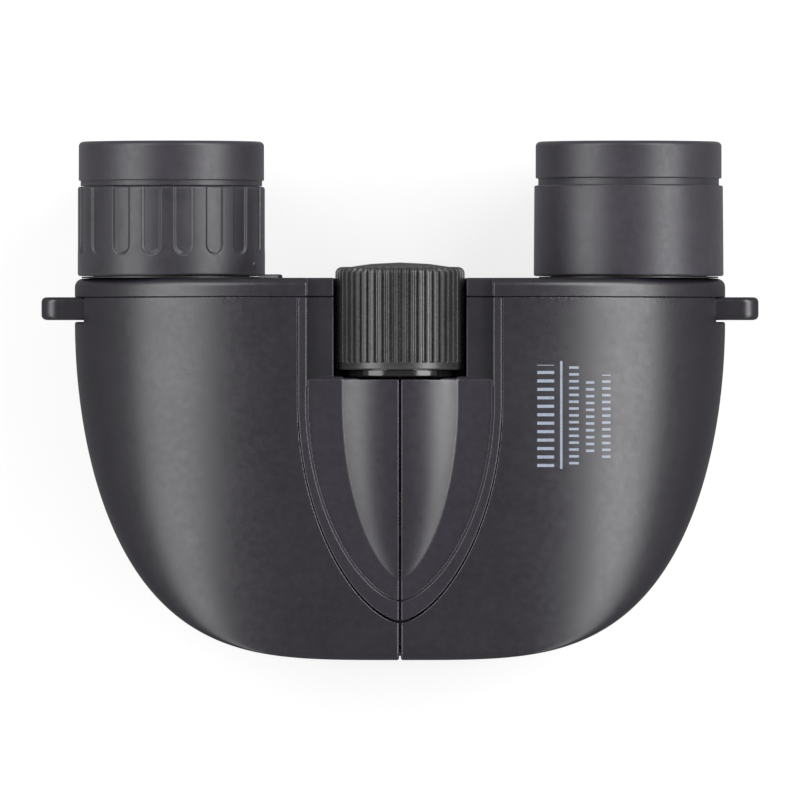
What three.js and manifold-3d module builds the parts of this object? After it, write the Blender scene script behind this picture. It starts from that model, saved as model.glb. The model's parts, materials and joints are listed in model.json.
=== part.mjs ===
// Compact reverse-Porro binoculars, 10 x 21, with centre focusing.
//
// Frame, in millimetres: +X from the user's right half to the left half, +Y towards the eyes,
// +Z up. The binoculars lie open on their flat underside (z = 0), centred on x = 0 and y = 0.
// The two halves turn about one hinge that runs along Y, and the focus wheel turns about it too.
// side = -1 is the user's right half, which carries the dioptre ring; side = +1 is the left half.

import * as THREE from 'three';
import { mergeVertices } from 'three/addons/utils/BufferGeometryUtils.js';
import Module from 'manifold-3d';

// ---------------------------------------------------------------- driving dimensions

// Whole object
const LENGTH = 80;
const FRONT_Y = -LENGTH / 2;
const EYE_Y = LENGTH / 2;
const HALF_WIDTH = 50.4;
const HINGE_Z = 32;
const GAP = 0.3;
const WALL = 1.8;

// Cross-section of a half: a flat centre, then a quarter ellipse over the top and one below.
// The upper ellipse keeps its bend where it meets the flat, so it is lower where the half is narrower.
const CROWN_X = 14;
const CROWN_Z = 39.6;
const WIDEST_Z = 16.5;
const KEEL_RISE = 16.9;
const CROWN_BEND = (CROWN_Z - WIDEST_Z) / (HALF_WIDTH - CROWN_X) ** 2;
const SEAM_X = 0.2;
const FOLD_ANGLE = THREE.MathUtils.degToRad(22.2);
const FOLD_GAP = 0.3;

// Plan outline: sides run straight to SHOULDER_Y, then curve round to the front
const SHOULDER_Y = 12.5;
const OUTLINE_POWER = 1 / 3.75;

// Joint between housing and end plate
const HOUSING_END_Y = 15.85;
const PLATE_Y = 16.15;
const PLATE_END_Y = 18.8;

// Centre panel with its raised spine, and the recess for the focus wheel
const PANEL_HALF_WIDTH = 15.7;
const PANEL_LENGTH = 34;
const SPINE_HALF_WIDTH = 8.9;
const SPINE_LENGTH = 27.7;
const SPINE_HEIGHT = 2.6;
const SPINE_FALL = 1.3;
const TAPER_POWER = 0.625;
const PANEL_BASE_Z = 37.85;
const PANEL_FLOOR_Z = 39;
const PANEL_RIM = 0.903;
const RECESS_HALF_WIDTH = 14.3;
const RECESS_Y = 3.65;
const RECESS_FLOOR_Z = 37.2;

// Focus wheel
const WHEEL_RADIUS = 10;
const WHEEL_RIBS = 48;
const WHEEL_START_Y = 5.6;
const WHEEL_END_Y = 20.5;
const WHEEL_CLEARANCE = 10.5;
const NECK_RADIUS = 8.5;
const NECK_Y = 3.5;
const FLANGE_Y = 4.67;

// Hinge and focusing screw
const CHANNEL_RADIUS = 5.6;
const KNUCKLE_RADIUS = 5.2;
const SCREW_RADIUS = 2;
const PILOT_RADIUS = 1.1;
const FRONT_KNUCKLES = { '-1': [-37.8, -32.2], 1: [-31.9, -26.3] };
const REAR_KNUCKLES = { '-1': [-2.6, 3], 1: [-8.6, -2.9] };

const PIN_RADIUS = 2.3;
const BUSH_RADIUS = 3.4;
const CARRIAGE_RADIUS = 4.9;
const CAP_RADIUS = 7.5;

// Optics: eyepiece axis, objective axis, clear sizes
const EYE_X = 35.4;
const EYE_Z = 19.2;
const OBJECTIVE_X = 19.2;
const OBJECTIVE_Z = 21;
const OBJECTIVE_BORE = 12.1;
const OBJECTIVE_LENS_RADIUS = 10.9;
const ARM_Y = -17.5;
const ARM_TIP_RADIUS = 4.1;
const CELL_Y = [-30.8, -16];
const LENS_SEAT_Y = -22.5;
const HOOD_Y = [-35.3, -33.6];
const PRISM_FACE_Y = 0.9;
const FRAME_HALF = 0.6;
const EYE_LENS_RADIUS = 8.8;
const TUBE_RADIUS = 11;
const TUBE_INNER = 9.5;
const TUBE_COLLAR = 12.1;
const TUBE_Y = [13.2, 34.2];
const EYE_RING_Y = 34.9;

// Dioptre ring on the right eyepiece
const RING_RADIUS = 14.5;
const RING_FLUTES = 18;
const FLUTE_START = 8.3;

// Strap lugs and plate screws
const LUG_TIP_X = 55.5;
const SLOT_X = [51.4, 53.7];
const SCREW_SHANK = 0.8;
const SCREW_HEAD = 1.6;
const SCREW_HEAD_Y = 17.7;

const HINGE_AXIS = [0, HINGE_Z];

// ---------------------------------------------------------------- solids from geometry

const wasm = await Module();
wasm.setup();

// One closed solid from a three.js geometry, with its faces pointing out.
function toSolid(geometry) {
  geometry.deleteAttribute('normal');
  geometry.deleteAttribute('uv');
  const merged = mergeVertices(geometry, 1e-4);
  const positions = merged.getAttribute('position').array;
  const index = merged.getIndex().array;
  const triangles = [];
  let volume = 0;
  for (let i = 0; i < index.length; i += 3) {
    const [a, b, c] = [index[i], index[i + 1], index[i + 2]];
    if (a === b || b === c || c === a) continue;
    triangles.push(a, b, c);
    const corner = (k) => new THREE.Vector3().fromArray(positions, 3 * k);
    volume += corner(a).dot(corner(b).cross(corner(c)));
  }
  if (volume < 0) triangles.reverse();
  return new wasm.Manifold(new wasm.Mesh({
    numProp: 3,
    vertProperties: new Float32Array(positions),
    triVerts: new Uint32Array(triangles),
  }));
}

function toGeometry(solid) {
  const mesh = solid.getMesh();
  const geometry = new THREE.BufferGeometry();
  geometry.setAttribute('position', new THREE.BufferAttribute(mesh.vertProperties, 3));
  geometry.setIndex(new THREE.BufferAttribute(mesh.triVerts, 1));
  geometry.computeVertexNormals();
  return geometry;
}

function shapeOf(outline) {
  return new THREE.Shape(outline.map(([u, v]) => new THREE.Vector2(u, v)));
}

// An outline of [x, z] points, made solid from y0 to y1.
function extrudeAlongY(outline, y0, y1) {
  const geometry = new THREE.ExtrudeGeometry(shapeOf(outline), { depth: y1 - y0, bevelEnabled: false });
  geometry.rotateX(Math.PI / 2);
  geometry.translate(0, y1, 0);
  return toSolid(geometry);
}

// An outline of [x, y] points, made solid from z0 to z1.
function extrudeAlongZ(outline, z0, z1) {
  const geometry = new THREE.ExtrudeGeometry(shapeOf(outline), { depth: z1 - z0, bevelEnabled: false });
  geometry.translate(0, 0, z0);
  return toSolid(geometry);
}

// A profile of [radius, y] points, turned about a line parallel to Y through [x, z].
function turned(profile, [x, z], segments = 36) {
  const onAxis = profile[0][0] === 0;
  const points = onAxis ? profile : [...profile, profile[0]];
  const geometry = new THREE.LatheGeometry(points.map(([r, y]) => new THREE.Vector2(r, y)), segments);
  geometry.translate(x, 0, z);
  return toSolid(geometry);
}

function disc(radius, y0, y1, axis, segments = 36) {
  return turned([[0, y0], [radius, y0], [radius, y1], [0, y1]], axis, segments);
}

function tube(inner, outer, y0, y1, axis, segments = 36) {
  return turned([[inner, y0], [outer, y0], [outer, y1], [inner, y1]], axis, segments);
}

function box([x0, y0, z0], [x1, y1, z1]) {
  const geometry = new THREE.BoxGeometry(Math.abs(x1 - x0), Math.abs(y1 - y0), Math.abs(z1 - z0));
  geometry.translate((x0 + x1) / 2, (y0 + y1) / 2, (z0 + z1) / 2);
  return toSolid(geometry);
}

// A bar of the given width from point a to point b, both [x, z], made solid from y0 to y1.
function bar(a, b, width, y0, y1) {
  const along = new THREE.Vector2(b[0] - a[0], b[1] - a[1]).normalize();
  const [px, pz] = [-along.y * width / 2, along.x * width / 2];
  return extrudeAlongY([
    [a[0] + px, a[1] + pz], [a[0] - px, a[1] - pz], [b[0] - px, b[1] - pz], [b[0] + px, b[1] + pz],
  ], y0, y1);
}

// Sections of [x, z] points, all with the same number of points, joined in order of y.
function loft(stations, outlineAt) {
  const outlines = stations.map(outlineAt);
  const count = outlines[0].length;
  const positions = outlines.flatMap((outline, i) => outline.flatMap(([x, z]) => [x, stations[i], z]));
  const index = [];
  for (let i = 0; i + 1 < stations.length; i += 1) {
    for (let j = 0; j < count; j += 1) {
      const a = i * count + j;
      const b = i * count + (j + 1) % count;
      index.push(a, b, a + count, b, b + count, a + count);
    }
  }
  const addCap = (outline, offset, sameWay) => {
    const contour = outline.map(([x, z]) => new THREE.Vector2(x, z));
    const turn = Math.sign(THREE.ShapeUtils.area(contour));
    for (const face of THREE.ShapeUtils.triangulateShape([...contour], [])) {
      const faceTurn = Math.sign(THREE.ShapeUtils.area(face.map((k) => contour[k])));
      const ordered = (faceTurn === turn) === sameWay ? face : face.toReversed();
      index.push(...ordered.map((k) => k + offset));
    }
  };
  addCap(outlines[0], 0, false);
  addCap(outlines.at(-1), (stations.length - 1) * count, true);
  const geometry = new THREE.BufferGeometry();
  geometry.setAttribute('position', new THREE.BufferAttribute(new Float32Array(positions), 3));
  geometry.setIndex(index);
  return toSolid(geometry);
}

function union(...solids) {
  return solids.reduce((whole, next) => whole.add(next));
}

function cut(solid, ...tools) {
  return tools.reduce((rest, tool) => rest.subtract(tool), solid);
}

function mirrored(outline, side) {
  return outline.map(([x, other]) => [side * x, other]);
}

// Evenly spaced values from start to end, both included.
function spaced(start, end, steps) {
  return Array.from({ length: steps + 1 }, (_, i) => start + (end - start) * i / steps);
}

// ---------------------------------------------------------------- outer shape of a half

// Half-width of the plan outline, inset evenly. The front face is flat out to just past CROWN_X.
function planX(y, inset) {
  const t = Math.min(Math.max((SHOULDER_Y - y) / (SHOULDER_Y - FRONT_Y - inset), 0), 1);
  return Math.max((HALF_WIDTH - inset) * (1 - t * t) ** OUTLINE_POWER, CROWN_X + 1 + 2.3 * inset);
}

// x of the slanting inner wall of a half at height z: the two walls meet when the halves fold.
function foldWallX(z, thickness) {
  return (HINGE_Z - z) * Math.tan(FOLD_ANGLE) + (FOLD_GAP + thickness) / Math.cos(FOLD_ANGLE);
}

// Points of the crown's ellipse, the upright side below it and the keel's ellipse.
// startX is where the crown begins, and every section has the same number of points.
function flank(y, inset, startX) {
  const reach = planX(y, inset) - CROWN_X;
  const lift = Math.max(CROWN_BEND * (planX(y, 0) - CROWN_X) ** 2 - inset, 0.2);
  const drop = KEEL_RISE - inset;
  const start = Math.acos((startX - CROWN_X) / reach);
  const keelAngle = Math.asin((WIDEST_Z - inset) / drop);
  const crownCentre = CROWN_Z - inset - lift;
  const crown = spaced(start, 0.03, 8).map((a) => [a, crownCentre + lift * Math.sin(a)]);
  const keel = spaced(0.03, keelAngle, 5).map((a) => [a, WIDEST_Z - drop * Math.sin(a)]);
  return [...crown, ...keel].map(([a, z]) => [CROWN_X + reach * Math.cos(a), z]);
}

function bodySection(side, y) {
  const fold = [[foldWallX(0, 0) + 0.8, 0], [foldWallX(0.8, 0), 0.8], [foldWallX(HINGE_Z, 0), HINGE_Z]];
  return mirrored([[SEAM_X, CROWN_Z], ...flank(y, 0, CROWN_X), ...fold], side);
}

const BODY_STATIONS = [FRONT_Y, -39.6, -38.7, -37, -34, -30, -24, -16, -6, SHOULDER_Y];

function bodySolid(side, endY) {
  return loft([...BODY_STATIONS, endY], (y) => bodySection(side, y));
}

// ---------------------------------------------------------------- housings

const CAVITY_LOW_TOP = 33.4;
const CAVITY_MID_TOP = 36;

function cavitySection(side, y, inset) {
  const stepX = PANEL_HALF_WIDTH + inset;
  return mirrored([
    [foldWallX(CAVITY_LOW_TOP, inset), CAVITY_LOW_TOP],
    [stepX - 1, CAVITY_LOW_TOP],
    [stepX - 0.1, CAVITY_MID_TOP],
    ...flank(y, inset, stepX),
    [foldWallX(inset, inset), inset],
  ], side);
}

function cavitySolid(side) {
  const front = FRONT_Y + WALL;
  const stations = [front, -37, -34.5, -30, -22, -12, 0, SHOULDER_Y, HOUSING_END_Y + 1];
  return cut(
    loft(stations, (y) => cavitySection(side, y, WALL)),
    disc(CHANNEL_RADIUS + 1.6, FRONT_Y - 1, EYE_Y, HINGE_AXIS, 24),
    disc(WHEEL_CLEARANCE + 1.6, 1.9, EYE_Y, HINGE_AXIS, 28),
  );
}

const SCREW_PLACES = [[20.5, 7.5, 0], [22, 31.8, 37]];
const BOSS_RADIUS = 2.4;
const BOSS_Y = 10.2;

function screwBoss(side, [x, z, wallZ]) {
  return union(
    disc(BOSS_RADIUS, BOSS_Y, HOUSING_END_Y, [side * x, z], 12),
    bar([side * x, z], [side * x, wallZ], 3, BOSS_Y, HOUSING_END_Y),
  );
}

// A half's share of the hinge: a ring round the hinge axis on a web that grows from its wall.
function knuckle(side, [y0, y1], bore) {
  const web = [30, 58, 85].map((degrees) => {
    const angle = THREE.MathUtils.degToRad(degrees);
    return [7 * Math.sin(angle), HINGE_Z - 7 * Math.cos(angle)];
  });
  const ring = union(
    disc(KNUCKLE_RADIUS, y0, y1, HINGE_AXIS, 24),
    extrudeAlongY(mirrored([HINGE_AXIS, ...web], side), y0, y1),
  );
  return cut(ring, disc(bore, y0 - 1, y1 + 1, HINGE_AXIS, 16));
}

// Outline of the centre panel on one side: straight along the recess, then tapering to the front.
function taperOutline(side, halfWidth, length, endY) {
  const taper = spaced(0, 1, 11).map((t) => {
    const y = -length * Math.sin(t * Math.PI / 2);
    return [Math.max(halfWidth * (1 - (y / length) ** 2) ** TAPER_POWER, SEAM_X), y];
  });
  return mirrored([[SEAM_X, endY], [halfWidth, endY], ...taper], side);
}

// A shallow shelf beside the focus wheel, and the straight-sided well that the wheel turns in.
function wheelRecess(side) {
  return union(
    box([0, RECESS_Y, RECESS_FLOOR_Z], [side * RECESS_HALF_WIDTH, EYE_Y, CROWN_Z + 1]),
    box([0, RECESS_Y, HINGE_Z], [side * WHEEL_CLEARANCE, EYE_Y, CROWN_Z + 1]),
    disc(WHEEL_CLEARANCE, RECESS_Y - 0.45, EYE_Y, HINGE_AXIS, 36),
  );
}

const LUG_Y = [12.4, HOUSING_END_Y];
const LUG_Z = [10.5, 22.5];
const LUG_FOOT_X = 47;

function housing(side) {
  const objective = [side * OBJECTIVE_X, OBJECTIVE_Z];
  const outer = bodySolid(side, HOUSING_END_Y);
  const insideSide = box([side * SEAM_X, FRONT_Y - 1, -1], [side * HALF_WIDTH, EYE_Y, CROWN_Z + 1]);
  const barrel = disc(OBJECTIVE_BORE + 1.3, FRONT_Y, -15.2, objective, 32);
  const bosses = SCREW_PLACES.map((place) => screwBoss(side, place));
  const shell = union(outer.subtract(cavitySolid(side)), barrel.intersect(outer), ...bosses.map(
    (boss) => boss.intersect(outer)));
  const channel = union(
    disc(CHANNEL_RADIUS, FRONT_Y - 1, RECESS_Y, HINGE_AXIS, 20),
    box([-3.5, FRONT_Y + 1.8, HINGE_Z], [3.5, RECESS_Y, PANEL_BASE_Z - 0.2]),
  );
  const armSlot = bar(objective, HINGE_AXIS, 5, ARM_Y - 4.3, ARM_Y + 2.3);
  const panelSeat = extrudeAlongZ(
    taperOutline(side, PANEL_HALF_WIDTH + GAP, PANEL_LENGTH + GAP, EYE_Y), PANEL_BASE_Z - GAP, CROWN_Z + 1);
  const lugNotch = box(
    [side * (LUG_FOOT_X - GAP), LUG_Y[0] - GAP, LUG_Z[0] - GAP],
    [side * (HALF_WIDTH + 1), EYE_Y, LUG_Z[1] + GAP],
  );
  const open = cut(
    shell,
    channel,
    disc(OBJECTIVE_BORE, FRONT_Y - 1, -15, objective, 32),
    armSlot,
    panelSeat,
    wheelRecess(side),
    lugNotch,
    ...SCREW_PLACES.map(([x, z]) => disc(1.1, BOSS_Y + 1, EYE_Y, [side * x, z], 8)),
  );
  return union(
    open.intersect(insideSide),
    knuckle(side, FRONT_KNUCKLES[side], PIN_RADIUS + GAP),
    knuckle(side, REAR_KNUCKLES[side], BUSH_RADIUS + GAP),
  );
}

function endPlate(side) {
  const rounding = 1.4;
  const rimAt = (y) => Math.max(0, y - (PLATE_END_Y - rounding));
  const plate = loft([PLATE_Y, PLATE_END_Y - rounding, PLATE_END_Y - 0.4, PLATE_END_Y], (y) => {
    const inset = y > PLATE_END_Y - rounding ? (rimAt(y) / rounding) ** 2 * 0.9 : 0;
    const shrink = 1 - inset / (HALF_WIDTH - CROWN_X);
    return bodySection(side, SHOULDER_Y).map(([x, z]) => [
      Math.abs(x) > CROWN_X ? side * CROWN_X + (x - side * CROWN_X) * shrink : x, z]);
  });
  const eyepieceHole = disc(TUBE_RADIUS + GAP, 15, EYE_Y, [side * EYE_X, EYE_Z], 32);
  const screwHoles = SCREW_PLACES.map(([x, z]) => union(
    disc(SCREW_SHANK + GAP, 15, EYE_Y, [side * x, z], 12),
    disc(SCREW_HEAD + GAP, SCREW_HEAD_Y - GAP, EYE_Y, [side * x, z], 16),
  ));
  const hole = cut(plate, wheelRecess(side), eyepieceHole, ...screwHoles);
  return side < 0 ? hole.add(dioptreIndex()) : hole;
}

// The small raised mark beside the dioptre ring that its dot is read against.
function dioptreIndex() {
  const angle = THREE.MathUtils.degToRad(63);
  const at = (radius) => [-EYE_X + radius * Math.sin(angle), EYE_Z + radius * Math.cos(angle)];
  return bar(at(15.6), at(19), 1.5, PLATE_END_Y - 0.5, PLATE_END_Y + 0.6);
}

function screw(side, [x, z]) {
  const axis = [side * x, z];
  const drive = box([side * x - 1.1, SCREW_HEAD_Y + 0.6, z - 0.25], [side * x + 1.1, EYE_Y, z + 0.25]);
  return cut(turned([
    [0, 11.6], [SCREW_SHANK, 11.9], [SCREW_SHANK, SCREW_HEAD_Y], [SCREW_HEAD, SCREW_HEAD_Y],
    [SCREW_HEAD, PLATE_END_Y - 0.3], [0, PLATE_END_Y - 0.1],
  ], axis, 12), drive);
}

// ---------------------------------------------------------------- centre panels

// The spine is an arc of constant radius whose middle sinks as its edges draw in.
function spine(side) {
  const widthAt = (y) => SPINE_HALF_WIDTH * (1 - (Math.min(y, 0) / SPINE_LENGTH) ** 2) ** TAPER_POWER;
  const stations = [-27.5, -26, -23, -19, -14, -8, 0, RECESS_Y - 0.3];
  return loft(stations, (y) => {
    const width = widthAt(y);
    const height = SPINE_HEIGHT * (width / SPINE_HALF_WIDTH) ** SPINE_FALL;
    const radius = (width ** 2 + height ** 2) / (2 * height);
    const centreZ = PANEL_FLOOR_Z + height - radius;
    const arc = spaced(SEAM_X, width, 6).map((x) => [x, centreZ + Math.sqrt(radius ** 2 - x * x)]);
    return mirrored([...arc, [width, PANEL_FLOOR_Z - 0.5], [SEAM_X, PANEL_FLOOR_Z - 0.5]], side);
  });
}

function centrePanel(side) {
  const plate = extrudeAlongZ(
    taperOutline(side, PANEL_HALF_WIDTH, PANEL_LENGTH, HOUSING_END_Y), PANEL_BASE_Z, CROWN_Z);
  const rim = taperOutline(side, PANEL_HALF_WIDTH * PANEL_RIM, PANEL_LENGTH * PANEL_RIM, RECESS_Y);
  const floor = extrudeAlongZ(rim, PANEL_FLOOR_Z, CROWN_Z + 1);
  return cut(plate.subtract(floor).add(spine(side)), wheelRecess(side));
}

// ---------------------------------------------------------------- strap lugs

function strapLug(side) {
  const corner = 2.2;
  const shape = new THREE.Shape();
  const [z0, z1] = LUG_Z;
  shape.moveTo(LUG_FOOT_X, z0);
  shape.lineTo(LUG_TIP_X - corner, z0);
  shape.absarc(LUG_TIP_X - corner, z0 + corner, corner, -Math.PI / 2, 0, false);
  shape.absarc(LUG_TIP_X - corner, z1 - corner, corner, 0, Math.PI / 2, false);
  shape.lineTo(LUG_FOOT_X, z1);
  const outline = shape.extractPoints(5).shape.map((p) => [p.x, p.y]);
  const slot = box([side * SLOT_X[0], 0, z0 + 2], [side * SLOT_X[1], EYE_Y, z1 - 2]);
  return cut(extrudeAlongY(mirrored(outline, side), ...LUG_Y), slot);
}

// ---------------------------------------------------------------- objectives

function objectiveCell(side) {
  const axis = [side * OBJECTIVE_X, OBJECTIVE_Z];
  const inner = OBJECTIVE_LENS_RADIUS + 0.1;
  const sleeve = turned([
    [inner, CELL_Y[0]], [OBJECTIVE_BORE - GAP, CELL_Y[0]], [OBJECTIVE_BORE - GAP, CELL_Y[1]],
    [10, CELL_Y[1]], [10, LENS_SEAT_Y], [inner, LENS_SEAT_Y],
  ], axis, 28);
  const toHinge = new THREE.Vector2(HINGE_AXIS[0] - axis[0], HINGE_AXIS[1] - axis[1]);
  const reach = toHinge.length();
  const at = (distance) => [axis[0] + toHinge.x * distance / reach, axis[1] + toHinge.y * distance / reach];
  return sleeve.add(bar(at(10.6), at(reach - ARM_TIP_RADIUS), 4, ARM_Y - 1.25, ARM_Y + 1.25));
}

function objectiveCrown(side) {
  const y = LENS_SEAT_Y - 2.9;
  const rim = OBJECTIVE_LENS_RADIUS - 0.1;
  return turned([
    [0, y - 3.6], [5.5, y - 3.1], [rim, y - 1.4], [rim, y - 0.4], [6, y + 0.8], [0, y + 1.2],
  ], [side * OBJECTIVE_X, OBJECTIVE_Z], 24);
}

function objectiveFlint(side) {
  const y = LENS_SEAT_Y - 2.9;
  const rim = OBJECTIVE_LENS_RADIUS - 0.1;
  return turned([
    [0, y + 1.5], [6, y + 1.1], [rim, y - 0.1], [rim, y + 2.6], [0, y + 2.8],
  ], [side * OBJECTIVE_X, OBJECTIVE_Z], 24);
}

function objectiveRetainer(side) {
  const y = LENS_SEAT_Y - 2.9 - 1.4 - GAP;
  return tube(10.5, OBJECTIVE_LENS_RADIUS, y - 1.6, y, [side * OBJECTIVE_X, OBJECTIVE_Z], 28);
}

// The fixed ring in the mouth of the objective bore, flared like a short hood.
function objectiveHood(side) {
  return turned([
    [11.3, HOOD_Y[0]], [OBJECTIVE_BORE - GAP, HOOD_Y[0]], [OBJECTIVE_BORE - GAP, HOOD_Y[1]],
    [10.6, HOOD_Y[1]], [10.6, HOOD_Y[1] - 0.6],
  ], [side * OBJECTIVE_X, OBJECTIVE_Z], 32);
}

// ---------------------------------------------------------------- prisms

// Each prism turns the light back beside itself: the rear one, then the front one, which lies
// square to it. Together they carry it from the objective axis to the eyepiece axis.
function prismLayout(side) {
  const start = new THREE.Vector2(side * OBJECTIVE_X, OBJECTIVE_Z);
  const end = new THREE.Vector2(side * EYE_X, EYE_Z);
  const shift = end.clone().sub(start);
  const step = shift.length() / Math.SQRT2;
  const rearWay = shift.clone().normalize().rotateAround(new THREE.Vector2(), -side * Math.PI / 4);
  const frontWay = shift.clone().normalize().rotateAround(new THREE.Vector2(), side * Math.PI / 4);
  const middle = start.clone().addScaledVector(rearWay, step);
  return {
    step,
    middle,
    rear: { way: rearWay, centre: start.clone().add(middle).multiplyScalar(0.5) },
    front: { way: frontWay, centre: middle.clone().add(end).multiplyScalar(0.5) },
  };
}

// An outline in the plane of the prism's triangle, u across its long face and v away from it,
// made solid over the given width. pointing is +1 for an apex towards the eyes.
function acrossPrism(outline, width, place, pointing) {
  const geometry = new THREE.ExtrudeGeometry(shapeOf(outline), { depth: width, bevelEnabled: false });
  geometry.translate(0, 0, -width / 2);
  const u = new THREE.Vector3(place.way.x, 0, place.way.y);
  const v = new THREE.Vector3(0, pointing, 0);
  const w = u.clone().cross(v);
  const matrix = new THREE.Matrix4().makeBasis(u, v, w);
  matrix.setPosition(place.centre.x, 0, place.centre.y);
  geometry.applyMatrix4(matrix);
  return toSolid(geometry);
}

function prism(side, which) {
  const layout = prismLayout(side);
  const half = layout.step;
  const flat = 1.6;
  return acrossPrism([
    [-half, PRISM_FACE_Y], [half, PRISM_FACE_Y], [flat, PRISM_FACE_Y + half - flat],
    [-flat, PRISM_FACE_Y + half - flat],
  ], layout.step - 0.4, layout[which], which === 'rear' ? 1 : -1);
}

// A thin spring strap over the prism's apex that holds it against the frame.
function prismClip(side, which) {
  const layout = prismLayout(side);
  const half = layout.step + 0.6;
  const flat = 1.9;
  const thickness = 0.5;
  const inside = [
    [half, PRISM_FACE_Y], [flat, PRISM_FACE_Y + half - flat], [-flat, PRISM_FACE_Y + half - flat],
    [-half, PRISM_FACE_Y],
  ];
  const spread = thickness * Math.SQRT2;
  const outside = [
    [-half - spread, PRISM_FACE_Y], [-flat - 0.2, PRISM_FACE_Y + half - flat + thickness],
    [flat + 0.2, PRISM_FACE_Y + half - flat + thickness], [half + spread, PRISM_FACE_Y],
  ];
  return acrossPrism([...inside, ...outside], 4, layout[which], which === 'rear' ? 1 : -1);
}

function prismFrame(side) {
  const layout = prismLayout(side);
  const plate = extrudeAlongY(cavitySection(side, 0, WALL + 0.6), -FRAME_HALF, FRAME_HALF);
  const apertures = [
    [side * OBJECTIVE_X, OBJECTIVE_Z], [layout.middle.x, layout.middle.y], [side * EYE_X, EYE_Z],
  ].map((axis) => disc(layout.step / 2 - 0.6, -2, 2, axis, 24));
  return cut(plate, disc(CHANNEL_RADIUS + 2.1, -2, 2, HINGE_AXIS, 24), ...apertures);
}

// ---------------------------------------------------------------- eyepieces

function eyepieceTube(side) {
  return turned([
    [TUBE_INNER, TUBE_Y[0]], [TUBE_RADIUS, TUBE_Y[0]], [TUBE_RADIUS, PLATE_END_Y + GAP],
    [TUBE_COLLAR, PLATE_END_Y + GAP], [TUBE_COLLAR, TUBE_Y[1]], [TUBE_INNER, TUBE_Y[1]],
  ], [side * EYE_X, EYE_Z], 28);
}

// The sleeve inside the tube that carries the eyepiece lenses.
function lensSleeve(side) {
  return tube(EYE_LENS_RADIUS + 0.1, TUBE_INNER - GAP, 15, TUBE_Y[1] - 0.4, [side * EYE_X, EYE_Z], 28);
}

function lens(side, y, rise, edge) {
  const radius = EYE_LENS_RADIUS - 0.2;
  return turned([
    [0, y - rise], [radius * 0.6, y - rise * 0.6], [radius, y], [radius, y + edge],
    [radius * 0.6, y + edge + rise * 0.6], [0, y + edge + rise],
  ], [side * EYE_X, EYE_Z], 20);
}

function eyeRing(side) {
  return turned([
    [8, EYE_RING_Y], [TUBE_COLLAR, EYE_RING_Y], [TUBE_COLLAR, EYE_RING_Y + 0.8],
    [9.2, EYE_RING_Y + 0.8], [8, EYE_RING_Y + 0.3],
  ], [side * EYE_X, EYE_Z], 28);
}

const LIP = [[13.1, EYE_Y], [12.5, EYE_Y - 0.4]];

// A plain rubber eyecup with a groove where its lip begins.
function plainEyecup(side) {
  return turned([
    [TUBE_COLLAR + GAP, 19.2], [14.7, 19.2], [14.6, 33.2], [14, 33.2], [14, 34.3], [14.4, 34.3],
    [14.4, EYE_Y - 0.5], [13.9, EYE_Y], ...LIP, [12.5, 36.4], [TUBE_COLLAR + GAP, 35.9],
  ], [side * EYE_X, EYE_Z], 28);
}

// The rubber eyecup above the dioptre ring.
function ringEyecup(side) {
  return turned([
    [TUBE_COLLAR + GAP, 33.3], [14, 33.3], [14, 33.9], [14.35, 33.9], [14.35, EYE_Y - 0.5],
    [13.7, EYE_Y], ...LIP, [12.5, 36.4], [TUBE_COLLAR + GAP, 35.9],
  ], [side * EYE_X, EYE_Z], 28);
}

// The dioptre ring: a smooth band at its foot, then finger flutes all round.
function dioptreRing(side) {
  const axis = [side * EYE_X, EYE_Z];
  const blank = tube(TUBE_COLLAR + GAP, RING_RADIUS, 19.2, 33, axis, 36);
  const flutes = spaced(0, RING_FLUTES - 1, RING_FLUTES - 1).map((k) => {
    const angle = THREE.MathUtils.degToRad(FLUTE_START + k * 360 / RING_FLUTES);
    const along = [Math.sin(angle), Math.cos(angle)];
    const across = [Math.cos(angle), -Math.sin(angle)];
    const at = (radius, sideways) => [0, 1].map((i) => axis[i] + along[i] * radius + across[i] * sideways);
    return extrudeAlongY([
      at(RING_RADIUS - 0.4, -1), at(RING_RADIUS + 0.5, -2.2), at(RING_RADIUS + 0.5, 2.2),
      at(RING_RADIUS - 0.4, 1),
    ], 22.4, 34);
  });
  return cut(blank, ...flutes);
}

// ---------------------------------------------------------------- focus wheel and hinge parts

function focusWheel() {
  const root = WHEEL_RADIUS - 0.5;
  const tip = WHEEL_RADIUS - 0.05;
  const ribs = spaced(0, WHEEL_RIBS - 1, WHEEL_RIBS - 1).flatMap((k) => (
    [[0, root], [0.3, tip], [0.7, tip]].map(([share, radius]) => {
      const angle = (k + share) * 2 * Math.PI / WHEEL_RIBS;
      return [radius * Math.sin(angle), HINGE_Z + radius * Math.cos(angle)];
    })));
  const grip = extrudeAlongY(ribs, WHEEL_START_Y - 0.3, WHEEL_END_Y - 1.2);
  const flange = disc(WHEEL_RADIUS, FLANGE_Y, WHEEL_START_Y, HINGE_AXIS, 48);
  const nose = turned([
    [0, WHEEL_START_Y], [root - 0.3, WHEEL_START_Y], [root - 0.3, WHEEL_END_Y - 0.8],
    [WHEEL_RADIUS - 1.4, WHEEL_END_Y], [0, WHEEL_END_Y],
  ], HINGE_AXIS, 32);
  const neck = disc(NECK_RADIUS, NECK_Y, FLANGE_Y + 0.1, HINGE_AXIS, 28);
  return cut(
    union(grip, flange, nose, neck),
    disc(SCREW_RADIUS + GAP, 0, 18.3, HINGE_AXIS, 16),
    disc(CAP_RADIUS + GAP, 19.9, EYE_Y, HINGE_AXIS, 28),
  );
}

function wheelCap() {
  return turned([
    [0, 20.2], [CAP_RADIUS, 20.2], [CAP_RADIUS, 20.6], [CAP_RADIUS * 0.6, 21], [0, 21.2],
  ], HINGE_AXIS, 24);
}

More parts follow.
